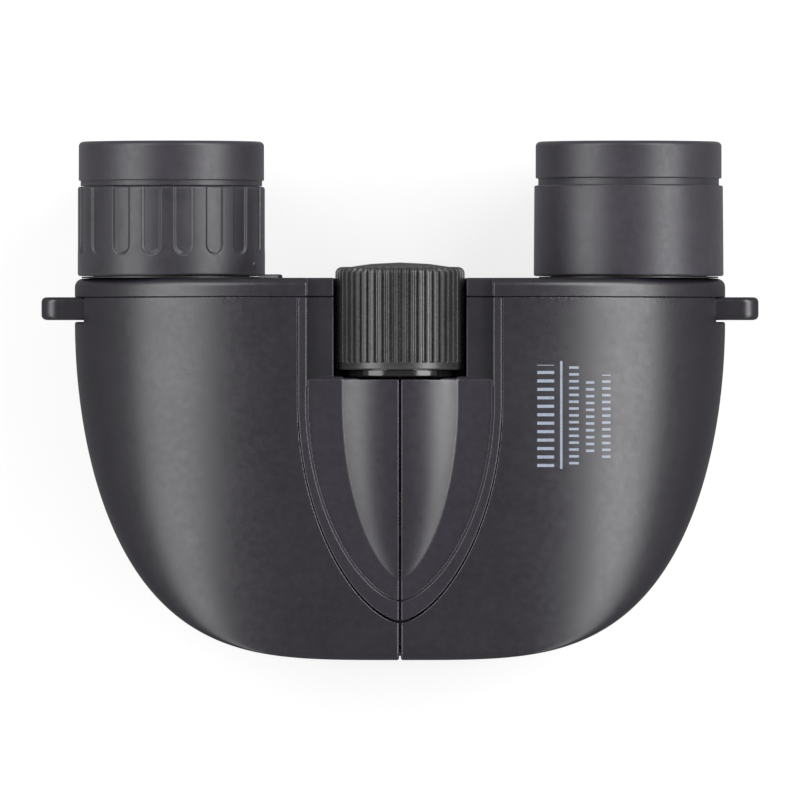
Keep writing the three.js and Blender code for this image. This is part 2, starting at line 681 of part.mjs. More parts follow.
// The nut on the focusing screw, with the groove that carries both objective arms.
function focusCarriage() {
  const hub = SCREW_RADIUS + GAP;
  return turned([
    [hub, -21], [CARRIAGE_RADIUS, -21], [CARRIAGE_RADIUS, ARM_Y - 1.6], [3.6, ARM_Y - 1.6],
    [3.6, ARM_Y + 1.6], [CARRIAGE_RADIUS, ARM_Y + 1.6], [CARRIAGE_RADIUS, -14], [hub, -14],
  ], HINGE_AXIS, 20);
}

// The screw's pilot tip runs in the end of the hinge pin.
function focusScrew() {
  return turned([
    [0, -26.6], [PILOT_RADIUS, -26.6], [PILOT_RADIUS, -24.5],
    [SCREW_RADIUS, -24.5], [SCREW_RADIUS, 18], [0, 18],
  ], HINGE_AXIS, 20);
}

function hingeBush() {
  return tube(SCREW_RADIUS + GAP, BUSH_RADIUS, -8.8, 3.2, HINGE_AXIS, 24);
}

function hingePin() {
  const bore = PILOT_RADIUS + GAP;
  return turned([
    [0, -36.9], [bore, -36.9], [bore, -37.9], [PIN_RADIUS, -37.9],
    [PIN_RADIUS, -26], [bore, -26], [bore, -27], [0, -27],
  ], HINGE_AXIS, 20);
}

function hingeCap() {
  return turned([
    [0, -39.4], [4.2, -39.4], [4.8, -38.9], [4.8, -38.2],
    [PILOT_RADIUS, -38.2], [PILOT_RADIUS, -37.3], [0, -37.3],
  ], HINGE_AXIS, 24);
}

// ---------------------------------------------------------------- the assembly

const group = new THREE.Group();

const MATERIALS = {
  shell: { color: 0x232426, roughness: 0.55, metalness: 0 },
  panel: { color: 0x2b2c2f, roughness: 0.6, metalness: 0 },
  rubber: { color: 0x1b1b1c, roughness: 0.8, metalness: 0 },
  wheel: { color: 0x161617, roughness: 0.5, metalness: 0 },
  blackMetal: { color: 0x1a1a1c, roughness: 0.4, metalness: 0.8 },
  steel: { color: 0x9a9c9f, roughness: 0.35, metalness: 1 },
  brass: { color: 0xb08d4a, roughness: 0.35, metalness: 1 },
  glass: { color: 0xb9c8c4, roughness: 0.05, metalness: 0 },
  frame: { color: 0x4a4b4d, roughness: 0.5, metalness: 0.6 },
};

function place(name, solid, material) {
  const mesh = new THREE.Mesh(toGeometry(solid), new THREE.MeshStandardMaterial(MATERIALS[material]));
  mesh.name = name;
  group.add(mesh);
}

for (const [word, side] of [['right', -1], ['left', 1]]) {
  place(`${word}_housing`, housing(side), 'shell');
  place(`${word}_end_plate`, endPlate(side), 'shell');
  place(`${word}_centre_panel`, centrePanel(side), 'panel');
  place(`${word}_strap_lug`, strapLug(side), 'shell');
  place(`${word}_objective_hood`, objectiveHood(side), 'shell');
  place(`${word}_objective_cell`, objectiveCell(side), 'blackMetal');
  place(`${word}_objective_crown`, objectiveCrown(side), 'glass');
  place(`${word}_objective_flint`, objectiveFlint(side), 'glass');
  place(`${word}_objective_retainer`, objectiveRetainer(side), 'blackMetal');
  place(`${word}_prism_frame`, prismFrame(side), 'frame');
  for (const which of ['rear', 'front']) {
    place(`${word}_${which}_prism`, prism(side, which), 'glass');
    place(`${word}_${which}_prism_clip`, prismClip(side, which), 'steel');
  }
  place(`${word}_eyepiece_tube`, eyepieceTube(side), 'blackMetal');
  place(`${word}_lens_sleeve`, lensSleeve(side), 'blackMetal');
  place(`${word}_field_lens`, lens(side, 17, 1.2, 1.6), 'glass');
  place(`${word}_eye_lens`, lens(side, 28.6, 1.4, 2), 'glass');
  place(`${word}_eye_ring`, eyeRing(side), 'blackMetal');
  place(`${word}_eyecup`, side < 0 ? ringEyecup(side) : plainEyecup(side), 'rubber');
  SCREW_PLACES.forEach((at, k) => place(`${word}_plate_screw_${k + 1}`, screw(side, at), 'steel'));
}
place('dioptre_ring', dioptreRing(-1), 'rubber');
place('focus_wheel', focusWheel(), 'wheel');
place('wheel_cap', wheelCap(), 'shell');
place('focus_screw', focusScrew(), 'brass');
place('focus_carriage', focusCarriage(), 'brass');
place('hinge_bush', hingeBush(), 'brass');
place('hinge_pin', hingePin(), 'steel');
place('hinge_cap', hingeCap(), 'shell');

export default group;
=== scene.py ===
# Visual model of the compact binoculars: smooth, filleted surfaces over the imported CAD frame.
# Lengths are in millimetres until make_object() turns them into metres.

import json
import math
from concurrent.futures import ThreadPoolExecutor

import bpy
import numpy as np
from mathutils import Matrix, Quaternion, Vector

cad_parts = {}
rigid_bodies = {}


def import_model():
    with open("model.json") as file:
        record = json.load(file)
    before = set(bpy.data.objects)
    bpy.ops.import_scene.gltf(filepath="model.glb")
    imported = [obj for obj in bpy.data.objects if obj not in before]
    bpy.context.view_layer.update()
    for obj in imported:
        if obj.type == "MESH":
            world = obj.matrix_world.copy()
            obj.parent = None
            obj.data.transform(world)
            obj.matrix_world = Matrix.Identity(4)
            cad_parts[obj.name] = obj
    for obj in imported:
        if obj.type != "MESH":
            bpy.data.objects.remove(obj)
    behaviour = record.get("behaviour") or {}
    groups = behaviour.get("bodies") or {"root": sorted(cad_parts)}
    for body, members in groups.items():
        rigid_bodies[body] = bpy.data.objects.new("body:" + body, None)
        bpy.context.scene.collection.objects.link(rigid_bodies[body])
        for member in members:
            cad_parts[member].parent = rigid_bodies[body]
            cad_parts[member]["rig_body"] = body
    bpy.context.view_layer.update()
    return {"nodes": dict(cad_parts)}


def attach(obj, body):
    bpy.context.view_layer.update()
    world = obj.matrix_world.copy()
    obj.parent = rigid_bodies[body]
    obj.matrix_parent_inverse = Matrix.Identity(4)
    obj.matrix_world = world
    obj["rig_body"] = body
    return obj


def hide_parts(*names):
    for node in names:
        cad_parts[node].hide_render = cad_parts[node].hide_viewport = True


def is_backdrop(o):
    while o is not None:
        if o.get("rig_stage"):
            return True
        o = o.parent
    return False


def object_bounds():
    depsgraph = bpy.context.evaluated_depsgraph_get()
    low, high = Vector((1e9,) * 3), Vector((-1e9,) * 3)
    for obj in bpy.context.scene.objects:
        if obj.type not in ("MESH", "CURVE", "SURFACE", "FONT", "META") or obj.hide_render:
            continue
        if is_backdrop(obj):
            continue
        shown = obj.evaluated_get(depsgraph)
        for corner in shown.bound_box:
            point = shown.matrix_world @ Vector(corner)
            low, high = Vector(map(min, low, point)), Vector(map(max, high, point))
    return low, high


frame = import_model()
MM = 0.001

# ---------------------------------------------------------------- dimensions, after the CAD

SIDES = {"right": -1, "left": 1}
HINGE = (0.0, 32.0)
HALF_WIDTH = 50.4
CROWN_X = 14.0
CROWN_Z = 39.6
WIDEST_Z = 16.5
KEEL_RISE = 16.9
SEAM_X = 0.14
FOLD = math.radians(22.2)
FOLD_GAP = 0.3
SHOULDER_Y = 12.5
FRONT_Y = -40.0
OUTLINE_EXPONENT = 3.75
OUTLINE_POWER = 1 / OUTLINE_EXPONENT
CROWN_BEND = (CROWN_Z - WIDEST_Z) / (HALF_WIDTH - CROWN_X) ** 2
HOUSING_END_Y = 15.85
PLATE_Y = 15.91
PLATE_END_Y = 18.8
PANEL_HALF_WIDTH = 15.7
PANEL_LENGTH = 34.0
PANEL_RIM = 0.903
RIM_DRAFT = 0.55
PANEL_BASE_Z = 37.85
PANEL_FLOOR_Z = 39.0
TAPER_POWER = 0.625
SPINE_HALF_WIDTH = 8.9
SPINE_LENGTH = 27.7
SPINE_HEIGHT = 2.6
SPINE_FALL = 1.3
SPINE_END_Y = 3.4
RECESS_HALF_WIDTH = 14.3
RECESS_Y = 3.65
NECK_RELIEF = 0.45
RECESS_FLOOR_Z = 37.5
WHEEL_CLEARANCE = 10.25
CHANNEL_RADIUS = 5.6
OBJECTIVE = (19.2, 21.0)
OBJECTIVE_BORE = 12.1
EYEPIECE = (35.4, 19.2)
GAP = 0.3
WALL = 1.8
CHANNEL_FRONT_Y = -38.2
BORE_END_Y = -15.0
ARM_SLOT_Y = (-21.8, -15.2)
SCREW_PLACES = ((20.5, 7.5), (22.0, 31.8))
BOSS_FEET_Z = (0.0, 37.0)
BOSS_RADIUS = 2.4
BOSS_Y = 10.2
SCREW_HOLE = 1.1
SCREW_HEAD_HOLE = (1.9, 17.4)
LUG_Y = (12.4, 15.9)
LUG_Z = (10.5, 22.5)
LUG_FOOT_X = 47.0
LUG_TIP_X = 55.5
INDEX_ANGLE = math.radians(63)
INDEX_REACH = (15.6, 19.0)
KNUCKLES = {
    "right": ((-37.8, -32.2, 2.6), (-2.6, 3.0, 3.7)),
    "left": ((-31.9, -26.3, 2.6), (-8.6, -2.9, 3.7)),
}

# ---------------------------------------------------------------- fields
# A field is negative inside a solid, and close to the distance in mm near its surface.


def both(a, b, radius=0.0):
    """What lies in a and in b, its outer edge rounded."""
    if not radius:
        return np.maximum(a, b)
    return np.minimum(np.maximum(a, b), -radius) + np.hypot(
        np.maximum(a + radius, 0), np.maximum(b + radius, 0))


def either(a, b, radius=0.0):
    """What lies in a or in b, its inner corner rounded."""
    return -both(-a, -b, radius)


def without(a, b, radius=0.0):
    return both(a, -b, radius)


def slab(value, low, high):
    return np.maximum(low - value, value - high)


def cuboid(x, y, z, low, high):
    sides = [slab(value, low[i], high[i]) for i, value in enumerate((x, y, z))]
    return np.maximum(np.maximum(sides[0], sides[1]), sides[2])


def rod(x, z, axis, radius):
    return np.hypot(x - axis[0], z - axis[1]) - radius


def arm(x, z, start, end, width):
    """A straight strip in the x-z plane, with square ends."""
    dx, dz = end[0] - start[0], end[1] - start[1]
    length = math.hypot(dx, dz)
    dx, dz = dx / length, dz / length
    along = (x - start[0]) * dx + (z - start[1]) * dz
    across = np.abs((x - start[0]) * dz - (z - start[1]) * dx)
    return np.maximum(slab(along, 0, length), across - width / 2)


def plan_half_width(y, inset=0.0):
    """Half-width of the outline seen from above, and how fast it grows with y."""
    width, reach = HALF_WIDTH - inset, SHOULDER_Y - FRONT_Y - inset
    t = np.clip((SHOULDER_Y - y) / reach, 0, 0.9935)
    left = 1 - t * t
    half = width * left ** OUTLINE_POWER
    return half, half * OUTLINE_POWER * 2 * t / (left * reach)


def section(x, y, z, inset=0.0):
    """Flat top, quarter ellipse over the side, upright wall and keel ellipse, in the half x > 0."""
    half, growth = plan_half_width(y, inset)
    outer = half if not inset else plan_half_width(y)[0]
    reach = half - CROWN_X
    lift = np.maximum(CROWN_BEND * (outer - CROWN_X) ** 2 - inset, 0.2)
    top = CROWN_Z - inset
    centre = top - lift
    a = np.maximum(x - CROWN_X, 0) / reach
    above, below = z > centre, z < WIDEST_Z
    height = np.where(above, lift, KEEL_RISE - inset)
    b = np.where(above, z - centre, np.where(below, WIDEST_Z - z, 0)) / height
    k = np.sqrt(a * a + b * b) + 1e-6
    along = growth / reach * (np.where(above, 2 * b * (1 - b), 0) - a * a)
    grad = np.sqrt((a / reach) ** 2 + (b / height) ** 2 + along ** 2) / k
    return np.maximum(np.maximum((k - 1) / (grad + 1e-6), -12), z - top)


def plan(x, y, inset=0.0):
    """The outline seen from above, as a field."""
    width, reach = HALF_WIDTH - inset, SHOULDER_Y - FRONT_Y - inset
    t = np.maximum(SHOULDER_Y - y, 0) / reach
    u = np.maximum(x, 0) / width
    power = u ** (OUTLINE_EXPONENT - 1)
    value = power * u + t * t - 1
    grad = np.hypot(OUTLINE_EXPONENT * power / width, 2 * t / reach)
    return np.maximum(value / (grad + 1e-4), -12)


def fold(x, z, thickness=0.0):
    slant = -(x * math.cos(FOLD) - (HINGE[1] - z) * math.sin(FOLD) - FOLD_GAP - thickness)
    return np.maximum(slant, SEAM_X - x)


def taper(x, y, half_width, length):
    """The centre panel's outline: straight along the wheel, then drawn in to a point."""
    u = np.maximum(x, 1e-4) / half_width
    v = np.maximum(-y, 0) / length
    power = u ** (1 / TAPER_POWER - 1)
    value = power * u + v * v - 1
    grad = np.hypot(power / TAPER_POWER / half_width, 2 * v / length)
    return np.maximum(value / (grad + 1e-3), -8)


def without_wheel(body, x, y, z):
    """The body cut away by the shelf beside the focus wheel and by the well that the wheel turns in."""
    shelf = cuboid(x, y, z, (-1, RECESS_Y, RECESS_FLOOR_Z), (RECESS_HALF_WIDTH, 60, 60))
    well = np.maximum(np.hypot(x, np.minimum(z - HINGE[1], 0)) - WHEEL_CLEARANCE, RECESS_Y - y)
    well = np.minimum(well, np.maximum(rod(x, z, HINGE, WHEEL_CLEARANCE), RECESS_Y - NECK_RELIEF - y))
    return without(without(body, shelf, 0.28), well, 0.12)


def housing_hollow(x, y, z):
    """The room inside a housing, clear of the hinge, the wheel, the objective barrel and the bosses."""
    hollow = np.maximum(np.maximum(section(x, y, z, WALL), plan(x, y, WALL)), WALL - z)
    hollow = np.maximum(np.maximum(hollow, fold(x, z, WALL)), CHANNEL_FRONT_Y - y)
    hollow = np.maximum(hollow, -np.maximum(33.7 - z, x - 17.0))
    from_hinge = np.hypot(x, z - HINGE[1])
    hollow = np.maximum(hollow, CHANNEL_RADIUS + 1.6 - from_hinge)
    wheel_wall_y = y - 1.9 + 60 * (y < 1.9)
    hollow = np.maximum(hollow, np.minimum(WHEEL_CLEARANCE + 1.6 - from_hinge, wheel_wall_y))
    barrel = np.maximum(rod(x, z, OBJECTIVE, OBJECTIVE_BORE + 1.3), y + 15.2)
    hollow = np.maximum(hollow, -barrel)
    for place, foot in zip(SCREW_PLACES, BOSS_FEET_Z):
        boss = np.minimum(rod(x, z, place, BOSS_RADIUS), arm(x, z, place, (place[0], foot), 3.0))
        hollow = np.maximum(hollow, -np.maximum(boss, BOSS_Y - y))
    return hollow


def housing_field(x, y, z):
    crown = np.maximum(section(x, y, z), both(z - CROWN_Z, plan(x, y), 1.1))
    outer = both(crown, -z, 0.9)
    outer = both(outer, fold(x, z), 0.3)
    outer = both(outer, y - HOUSING_END_Y, 0.10)
    body = np.maximum(outer, -housing_hollow(x, y, z))
    bore = np.maximum(rod(x, z, OBJECTIVE, OBJECTIVE_BORE), y - BORE_END_Y)
    body = without(body, bore, 0.6)
    slot = np.maximum(arm(x, z, OBJECTIVE, HINGE, 5.0), slab(y, *ARM_SLOT_Y))
    body = np.maximum(body, -slot)
    channel = np.minimum(
        np.maximum(rod(x, z, HINGE, CHANNEL_RADIUS), y - RECESS_Y),
        cuboid(x, y, z, (-4, CHANNEL_FRONT_Y, HINGE[1]), (3.5, RECESS_Y, PANEL_BASE_Z - 0.2)))
    body = without(body, channel, 0.3)
    seat = taper(x, y, PANEL_HALF_WIDTH + 0.05, PANEL_LENGTH + 0.3)
    body = without(body, np.maximum(seat, PANEL_BASE_Z - GAP - z), 0.14)
    body = without_wheel(body, x, y, z)
    notch_low = (LUG_FOOT_X - GAP, LUG_Y[0] - GAP, LUG_Z[0] - GAP)
    body = without(body, cuboid(x, y, z, notch_low, (70, 60, LUG_Z[1] + GAP)), 0.3)
    for place in SCREW_PLACES:
        body = np.maximum(body, -np.maximum(rod(x, z, place, SCREW_HOLE), BOSS_Y + 1 - y))
    return body


def panel_field(x, y, z):
    plate = both(taper(x, y, PANEL_HALF_WIDTH, PANEL_LENGTH), z - CROWN_Z, 0.24)
    above_floor = z - PANEL_FLOOR_Z
    rim = taper(x, y, PANEL_HALF_WIDTH * PANEL_RIM, PANEL_LENGTH * PANEL_RIM) - RIM_DRAFT * above_floor
    plate = without(plate, np.maximum(rim, -above_floor), 0.07)
    v = np.clip(-y, 0, SPINE_LENGTH * 0.9999) / SPINE_LENGTH
    half = SPINE_HALF_WIDTH * (1 - v * v) ** TAPER_POWER
    height = SPINE_HEIGHT * (half / SPINE_HALF_WIDTH) ** SPINE_FALL
    radius = (half * half + height * height) / (2 * height)
    spine = np.maximum(np.hypot(x, above_floor - height + radius) - radius, -y - SPINE_LENGTH)
    spine = np.maximum(spine, taper(x, y, SPINE_HALF_WIDTH + 0.4, SPINE_LENGTH + 0.4))
    plate = either(plate, spine, 0.12)
    plate = both(plate, y - SPINE_END_Y - 60 * (x > RECESS_HALF_WIDTH - 0.01), 0.45)
    rail = both(slab(x, RECESS_HALF_WIDTH, PANEL_HALF_WIDTH), z - CROWN_Z, 0.26)
    plate = np.minimum(plate, both(rail, 2 - y))
    plate = both(plate, np.maximum(y - HOUSING_END_Y, PANEL_BASE_Z - z), 0.25)
    well = np.maximum(rod(x, z, HINGE, WHEEL_CLEARANCE), RECESS_Y - NECK_RELIEF - y)
    plate = without(plate, well, 0.2)
    return both(plate, SEAM_X - x, 0.26)


def end_plate_field(x, y, z):
    edge = both(section(x, np.full_like(y, SHOULDER_Y), z), -z, 0.9)
    edge = both(edge, fold(x, z), 0.3)
    plate = both(edge, y - PLATE_END_Y, 1.3)
    plate = both(plate, PLATE_Y - y, 0.10)
    plate = without_wheel(plate, x, y, z)
    plate = without(plate, rod(x, z, EYEPIECE, 11.3), 0.25)
    for place in SCREW_PLACES:
        plate = np.maximum(plate, -rod(x, z, place, SCREW_HOLE))
        head = np.maximum(rod(x, z, place, SCREW_HEAD_HOLE[0]), SCREW_HEAD_HOLE[1] - y)
        plate = without(plate, head, 0.2)
    return plate


def index_field(x, y, z):
    """The raised mark beside the dioptre ring, in the half x < 0."""
    way = math.sin(INDEX_ANGLE), math.cos(INDEX_ANGLE)
    ends = [(-EYEPIECE[0] + r * way[0], EYEPIECE[1] + r * way[1]) for r in INDEX_REACH]
    return both(arm(x, z, *ends, 1.5), slab(y, PLATE_END_Y - 0.3, PLATE_END_Y + 0.6), 0.3)


def knuckle_field(y0, y1, bore):
    def field(x, y, z):
        radial = np.hypot(x, z - HINGE[1])
        angle = np.degrees(np.arctan2(x, HINGE[1] - z))
        web = np.maximum(slab(angle, 30, 85) * radial * math.pi / 180, radial - 7.0)
        ring = np.minimum(radial - 5.2, web)
        ring = both(ring, slab(y, y0, y1), 0.35)
        return without(ring, radial - bore, 0.25)
    return field


def lug_field(x, y, z):
    middle, half = (LUG_Z[0] + LUG_Z[1]) / 2, (LUG_Z[1] - LUG_Z[0]) / 2
    corner = 2.6
    dx = np.maximum(x - LUG_TIP_X + corner, 0)
    dz = np.maximum(np.abs(z - middle) - half + corner, 0)
    outline = np.maximum(np.hypot(dx, dz) - corner, LUG_FOOT_X - x)
    slot_dx = np.maximum(np.abs(x - 52.55) - 1.15 + 0.9, 0)
    slot_dz = np.maximum(np.abs(z - middle) - half + 2 + 0.9, 0)
    slot = np.hypot(slot_dx, slot_dz) - 0.9
    body = both(outline, slab(y, *LUG_Y), 0.75)
    return without(body, slot, 0.5)


def screw_field(x, y, z):
    """A cheese-head screw on the line x = z = 0."""
    radial = np.hypot(x, z)
    head = both(radial - 1.6, slab(y, 17.7, 18.5), 0.25)
    shank = np.maximum(radial - 0.8, slab(y, 11.6, 18))
    slot = np.maximum(np.minimum(
        np.maximum(np.abs(x) - 1.05, np.abs(z) - 0.24),
        np.maximum(np.abs(z) - 1.05, np.abs(x) - 0.24)), 18.0 - y)
    return without(np.minimum(head, shank), slot, 0.06)


def cell_field(x, y, z):
    radial = np.hypot(x - OBJECTIVE[0], z - OBJECTIVE[1])
    sleeve = both(radial - 11.8, slab(y, -30.8, -16), 0.3)
    sleeve = without(sleeve, radial - 10.0, 0.3)
    sleeve = without(sleeve, np.maximum(radial - 11.0, y + 22.5), 0.2)
    grooves = np.abs((y * 1.25) % 1.0 - 0.5) * 0.5
    sleeve = np.maximum(sleeve, np.where((y > -21.8) & (y < -16.8), 10.32 - grooves - radial, -9))
    reach = math.hypot(OBJECTIVE[0], HINGE[1] - OBJECTIVE[1])
    way = (-OBJECTIVE[0] / reach, (HINGE[1] - OBJECTIVE[1]) / reach)
    at = [(OBJECTIVE[0] + way[0] * d, OBJECTIVE[1] + way[1] * d) for d in (11.2, reach - 4.1)]
    link = both(arm(x, z, *at, 4.0), slab(y, -18.75, -16.25), 0.3)
    return np.minimum(sleeve, link)


# ---------------------------------------------------------------- from a field to a surface

BLOCK = 8
WORKERS = ThreadPoolExecutor(4)
CORNERS = np.array([(i, j, k) for i in (0, 1) for j in (0, 1) for k in (0, 1)])
EDGES = [(a, b) for a in range(8) for b in range(a + 1, 8) if np.abs(CORNERS[a] - CORNERS[b]).sum() == 1]


def in_parts(work, points, size=60000):
    parts = [points[i:i + size] for i in range(0, len(points), size)]
    return np.concatenate(list(WORKERS.map(work, parts)))


def value_at(field, points):
    return in_parts(lambda p: field(p[:, 0], p[:, 1], p[:, 2]), points)


def gradient_at(field, points, step=0.01):
    def work(p):
        x, y, z = p.T
        return np.stack([
            field(x + step, y, z) - field(x - step, y, z),
            field(x, y + step, z) - field(x, y - step, z),
            field(x, y, z + step) - field(x, y, z - step)], axis=1) / (2 * step)
    return in_parts(work, points)


def sampled(field, low, high, pitch):
    """The field on a grid, worked out only in the blocks that the surface may cross."""
    low = np.asarray(low, np.float32)
    count = np.ceil((np.asarray(high) - low) / (pitch * BLOCK)).astype(int)
    index = np.stack(np.meshgrid(*[np.arange(n) for n in count], indexing="ij"), -1).reshape(-1, 3)
    centres = (low + (index + 0.5) * BLOCK * pitch).astype(np.float32)
    rough = value_at(field, centres)
    near = np.abs(rough) < BLOCK * pitch * 1.25
    coarse = np.where(rough < 0, -1.0, 1.0).astype(np.float32).reshape(count)
    grid = coarse.repeat(BLOCK, 0).repeat(BLOCK, 1).repeat(BLOCK, 2)
    grid = np.pad(grid, ((0, 1),) * 3, mode="edge")
    steps = np.arange(BLOCK + 1) * pitch
    inner = np.stack(np.meshgrid(steps, steps, steps, indexing="ij"), -1).reshape(-1, 3)
    chosen = index[near]

    def work(part):
        points = (low + part[:, None, :] * (BLOCK * pitch) + inner[None]).astype(np.float32)
        values = field(points[..., 0], points[..., 1], points[..., 2])
        return values.reshape(len(part), BLOCK + 1, BLOCK + 1, BLOCK + 1)

    parts = [chosen[i:i + 80] for i in range(0, len(chosen), 80)]
    for part, values in zip(parts, WORKERS.map(work, parts)):
        for (i, j, k), block in zip(part * BLOCK, values):
            grid[i:i + BLOCK + 1, j:j + BLOCK + 1, k:k + BLOCK + 1] = block
    return grid, low


def netted(grid, low, pitch):
    """One vertex in each cell that the surface crosses, and a face across each crossed edge."""
    inside = grid < 0
    shape = np.array(grid.shape) - 1
    total = np.zeros(shape, np.uint8)
    for i, j, k in CORNERS:
        total += inside[i:i + shape[0], j:j + shape[1], k:k + shape[2]]
    cells = np.argwhere((total > 0) & (total < 8))
    ids = np.full(shape, -1, np.int32)
    ids[tuple(cells.T)] = np.arange(len(cells))
    values = np.stack([grid[tuple((cells + c).T)] for c in CORNERS], 1)
    place = np.zeros((len(cells), 3))
    found = np.zeros(len(cells))
    for a, b in EDGES:
        crossed = (values[:, a] < 0) != (values[:, b] < 0)
        share = np.where(crossed, values[:, a] / np.where(crossed, values[:, a] - values[:, b], 1), 0)
        point = CORNERS[a] + share[:, None] * (CORNERS[b] - CORNERS[a])
        place += np.where(crossed[:, None], point, 0)
        found += crossed
    points = low + (cells + place / found[:, None]) * pitch
    quads = []
    for axis in range(3):
        u, v = [(1, 2), (2, 0), (0, 1)][axis]
        a = np.take(inside, range(0, grid.shape[axis] - 1), axis)
        b = np.take(inside, range(1, grid.shape[axis]), axis)
        for way, crossed in ((1, a & ~b), (-1, ~a & b)):
            edges = np.argwhere(crossed)
            edges = edges[(edges[:, u] > 0) & (edges[:, v] > 0)]
            edges = edges[(edges[:, u] < shape[u]) & (edges[:, v] < shape[v])]
            corners = []
            for du, dv in ((0, 0), (1, 0), (1, 1), (0, 1)):
                cell = edges.copy()
                cell[:, u] -= du
                cell[:, v] -= dv
                corners.append(ids[tuple(cell.T)])
            quad = np.stack(corners[::way], 1)
            quads.append(quad[(quad >= 0).all(1)])
    return points, np.concatenate(quads)


def projected(field, points, pitch, rounds=2):
    for _ in range(rounds):
        grad = gradient_at(field, points)
        size = np.maximum((grad ** 2).sum(1), 0.05)
        step = -(value_at(field, points) / size)[:, None] * grad
        length = np.linalg.norm(step, axis=1, keepdims=True)
        points = points + step * np.minimum(1, 0.5 * pitch / np.maximum(length, 1e-9))
    return points


def raw_mesh(name, verts, faces, scale=1.0):
    mesh = bpy.data.meshes.new(name)
    mesh.vertices.add(len(verts))
    mesh.vertices.foreach_set("co", (np.asarray(verts) * scale).astype(np.float32).ravel())
    groups = faces if isinstance(faces, list) else [faces]
    corners = np.concatenate([f.ravel() for f in groups]).astype(np.int32)
    sizes = np.concatenate([np.full(len(f), f.shape[1]) for f in groups])
    mesh.loops.add(len(corners))
    mesh.loops.foreach_set("vertex_index", corners)
    mesh.polygons.add(len(sizes))
    mesh.polygons.foreach_set("loop_start", np.concatenate([[0], np.cumsum(sizes)[:-1]]).astype(np.int32))
    mesh.update(calc_edges=True)
    mesh.validate()
    mesh.polygons.foreach_set("use_smooth", np.ones(len(mesh.polygons), bool))
    return mesh


def thinned(points, faces, budget):
    """The same surface in about budget triangles, fewest where it is flattest."""
    mesh = raw_mesh("thinning", points, faces)
    holder = bpy.data.objects.new("thinning", mesh)
    bpy.context.scene.collection.objects.link(holder)
    modifier = holder.modifiers.new("thin", "DECIMATE")
    modifier.ratio = min(1.0, budget / (2 * len(faces)))
    modifier.use_collapse_triangulate = True
    result = holder.evaluated_get(bpy.context.evaluated_depsgraph_get()).to_mesh()
    verts = np.zeros(len(result.vertices) * 3, np.float32)
    result.vertices.foreach_get("co", verts)
    result.calc_loop_triangles()
    triangles = np.zeros(len(result.loop_triangles) * 3, np.int32)
    result.loop_triangles.foreach_get("vertices", triangles)
    bpy.data.objects.remove(holder)
    bpy.data.meshes.remove(mesh)
    return verts.reshape(-1, 3).astype(float), triangles.reshape(-1, 3)


def surface(field, low, high, pitch, budget=60000):
    """Vertices, triangles, a normal for each corner and the edge wear of each vertex."""
    grid, origin = sampled(field, low, high, pitch)
    points, faces = netted(grid, origin, pitch)
    points = projected(field, points, pitch)
    if 2 * len(faces) > budget:
        points, faces = thinned(points, faces, budget)
        points = projected(field, points, pitch)
    else:
        faces = np.concatenate([faces[:, [0, 1, 2]], faces[:, [0, 2, 3]]])
    smooth = unit(gradient_at(field, points))
    centroid = points[faces].mean(1, keepdims=True)
    shifted = (points[faces] * 0.75 + centroid * 0.25).reshape(-1, 3)
    local = unit(gradient_at(field, shifted))
    at_vertex = smooth[faces.ravel()]
    agrees = (local * at_vertex).sum(1, keepdims=True) > math.cos(math.radians(8))
    normals = np.where(agrees, at_vertex, local)
    spread = 0.12
    rise = [value_at(field, points + np.array(way) * spread) for way in (
        (1, 0, 0), (-1, 0, 0), (0, 1, 0), (0, -1, 0), (0, 0, 1), (0, 0, -1))]
    bend = (sum(rise) - 6 * value_at(field, points)) / spread ** 2
    return points, faces, normals, np.clip(bend * 0.35, 0, 1)


def unit(vectors):
    return vectors / np.maximum(np.linalg.norm(vectors, axis=1, keepdims=True), 1e-9)


def mirrored(shape):
    """The same surface on the other side of x = 0."""
    points, faces, normals, wear = shape
    flip = np.array([-1.0, 1, 1])
    turned_normals = (normals * flip).reshape(-1, 3, 3)[:, ::-1].reshape(-1, 3)
    return points * flip, faces[:, ::-1], turned_normals, wear


def moved(shape, offset):
    return (shape[0] + np.array(offset), *shape[1:])


def sided(shape, side):
    return shape if side > 0 else mirrored(shape)


# ---------------------------------------------------------------- turned parts


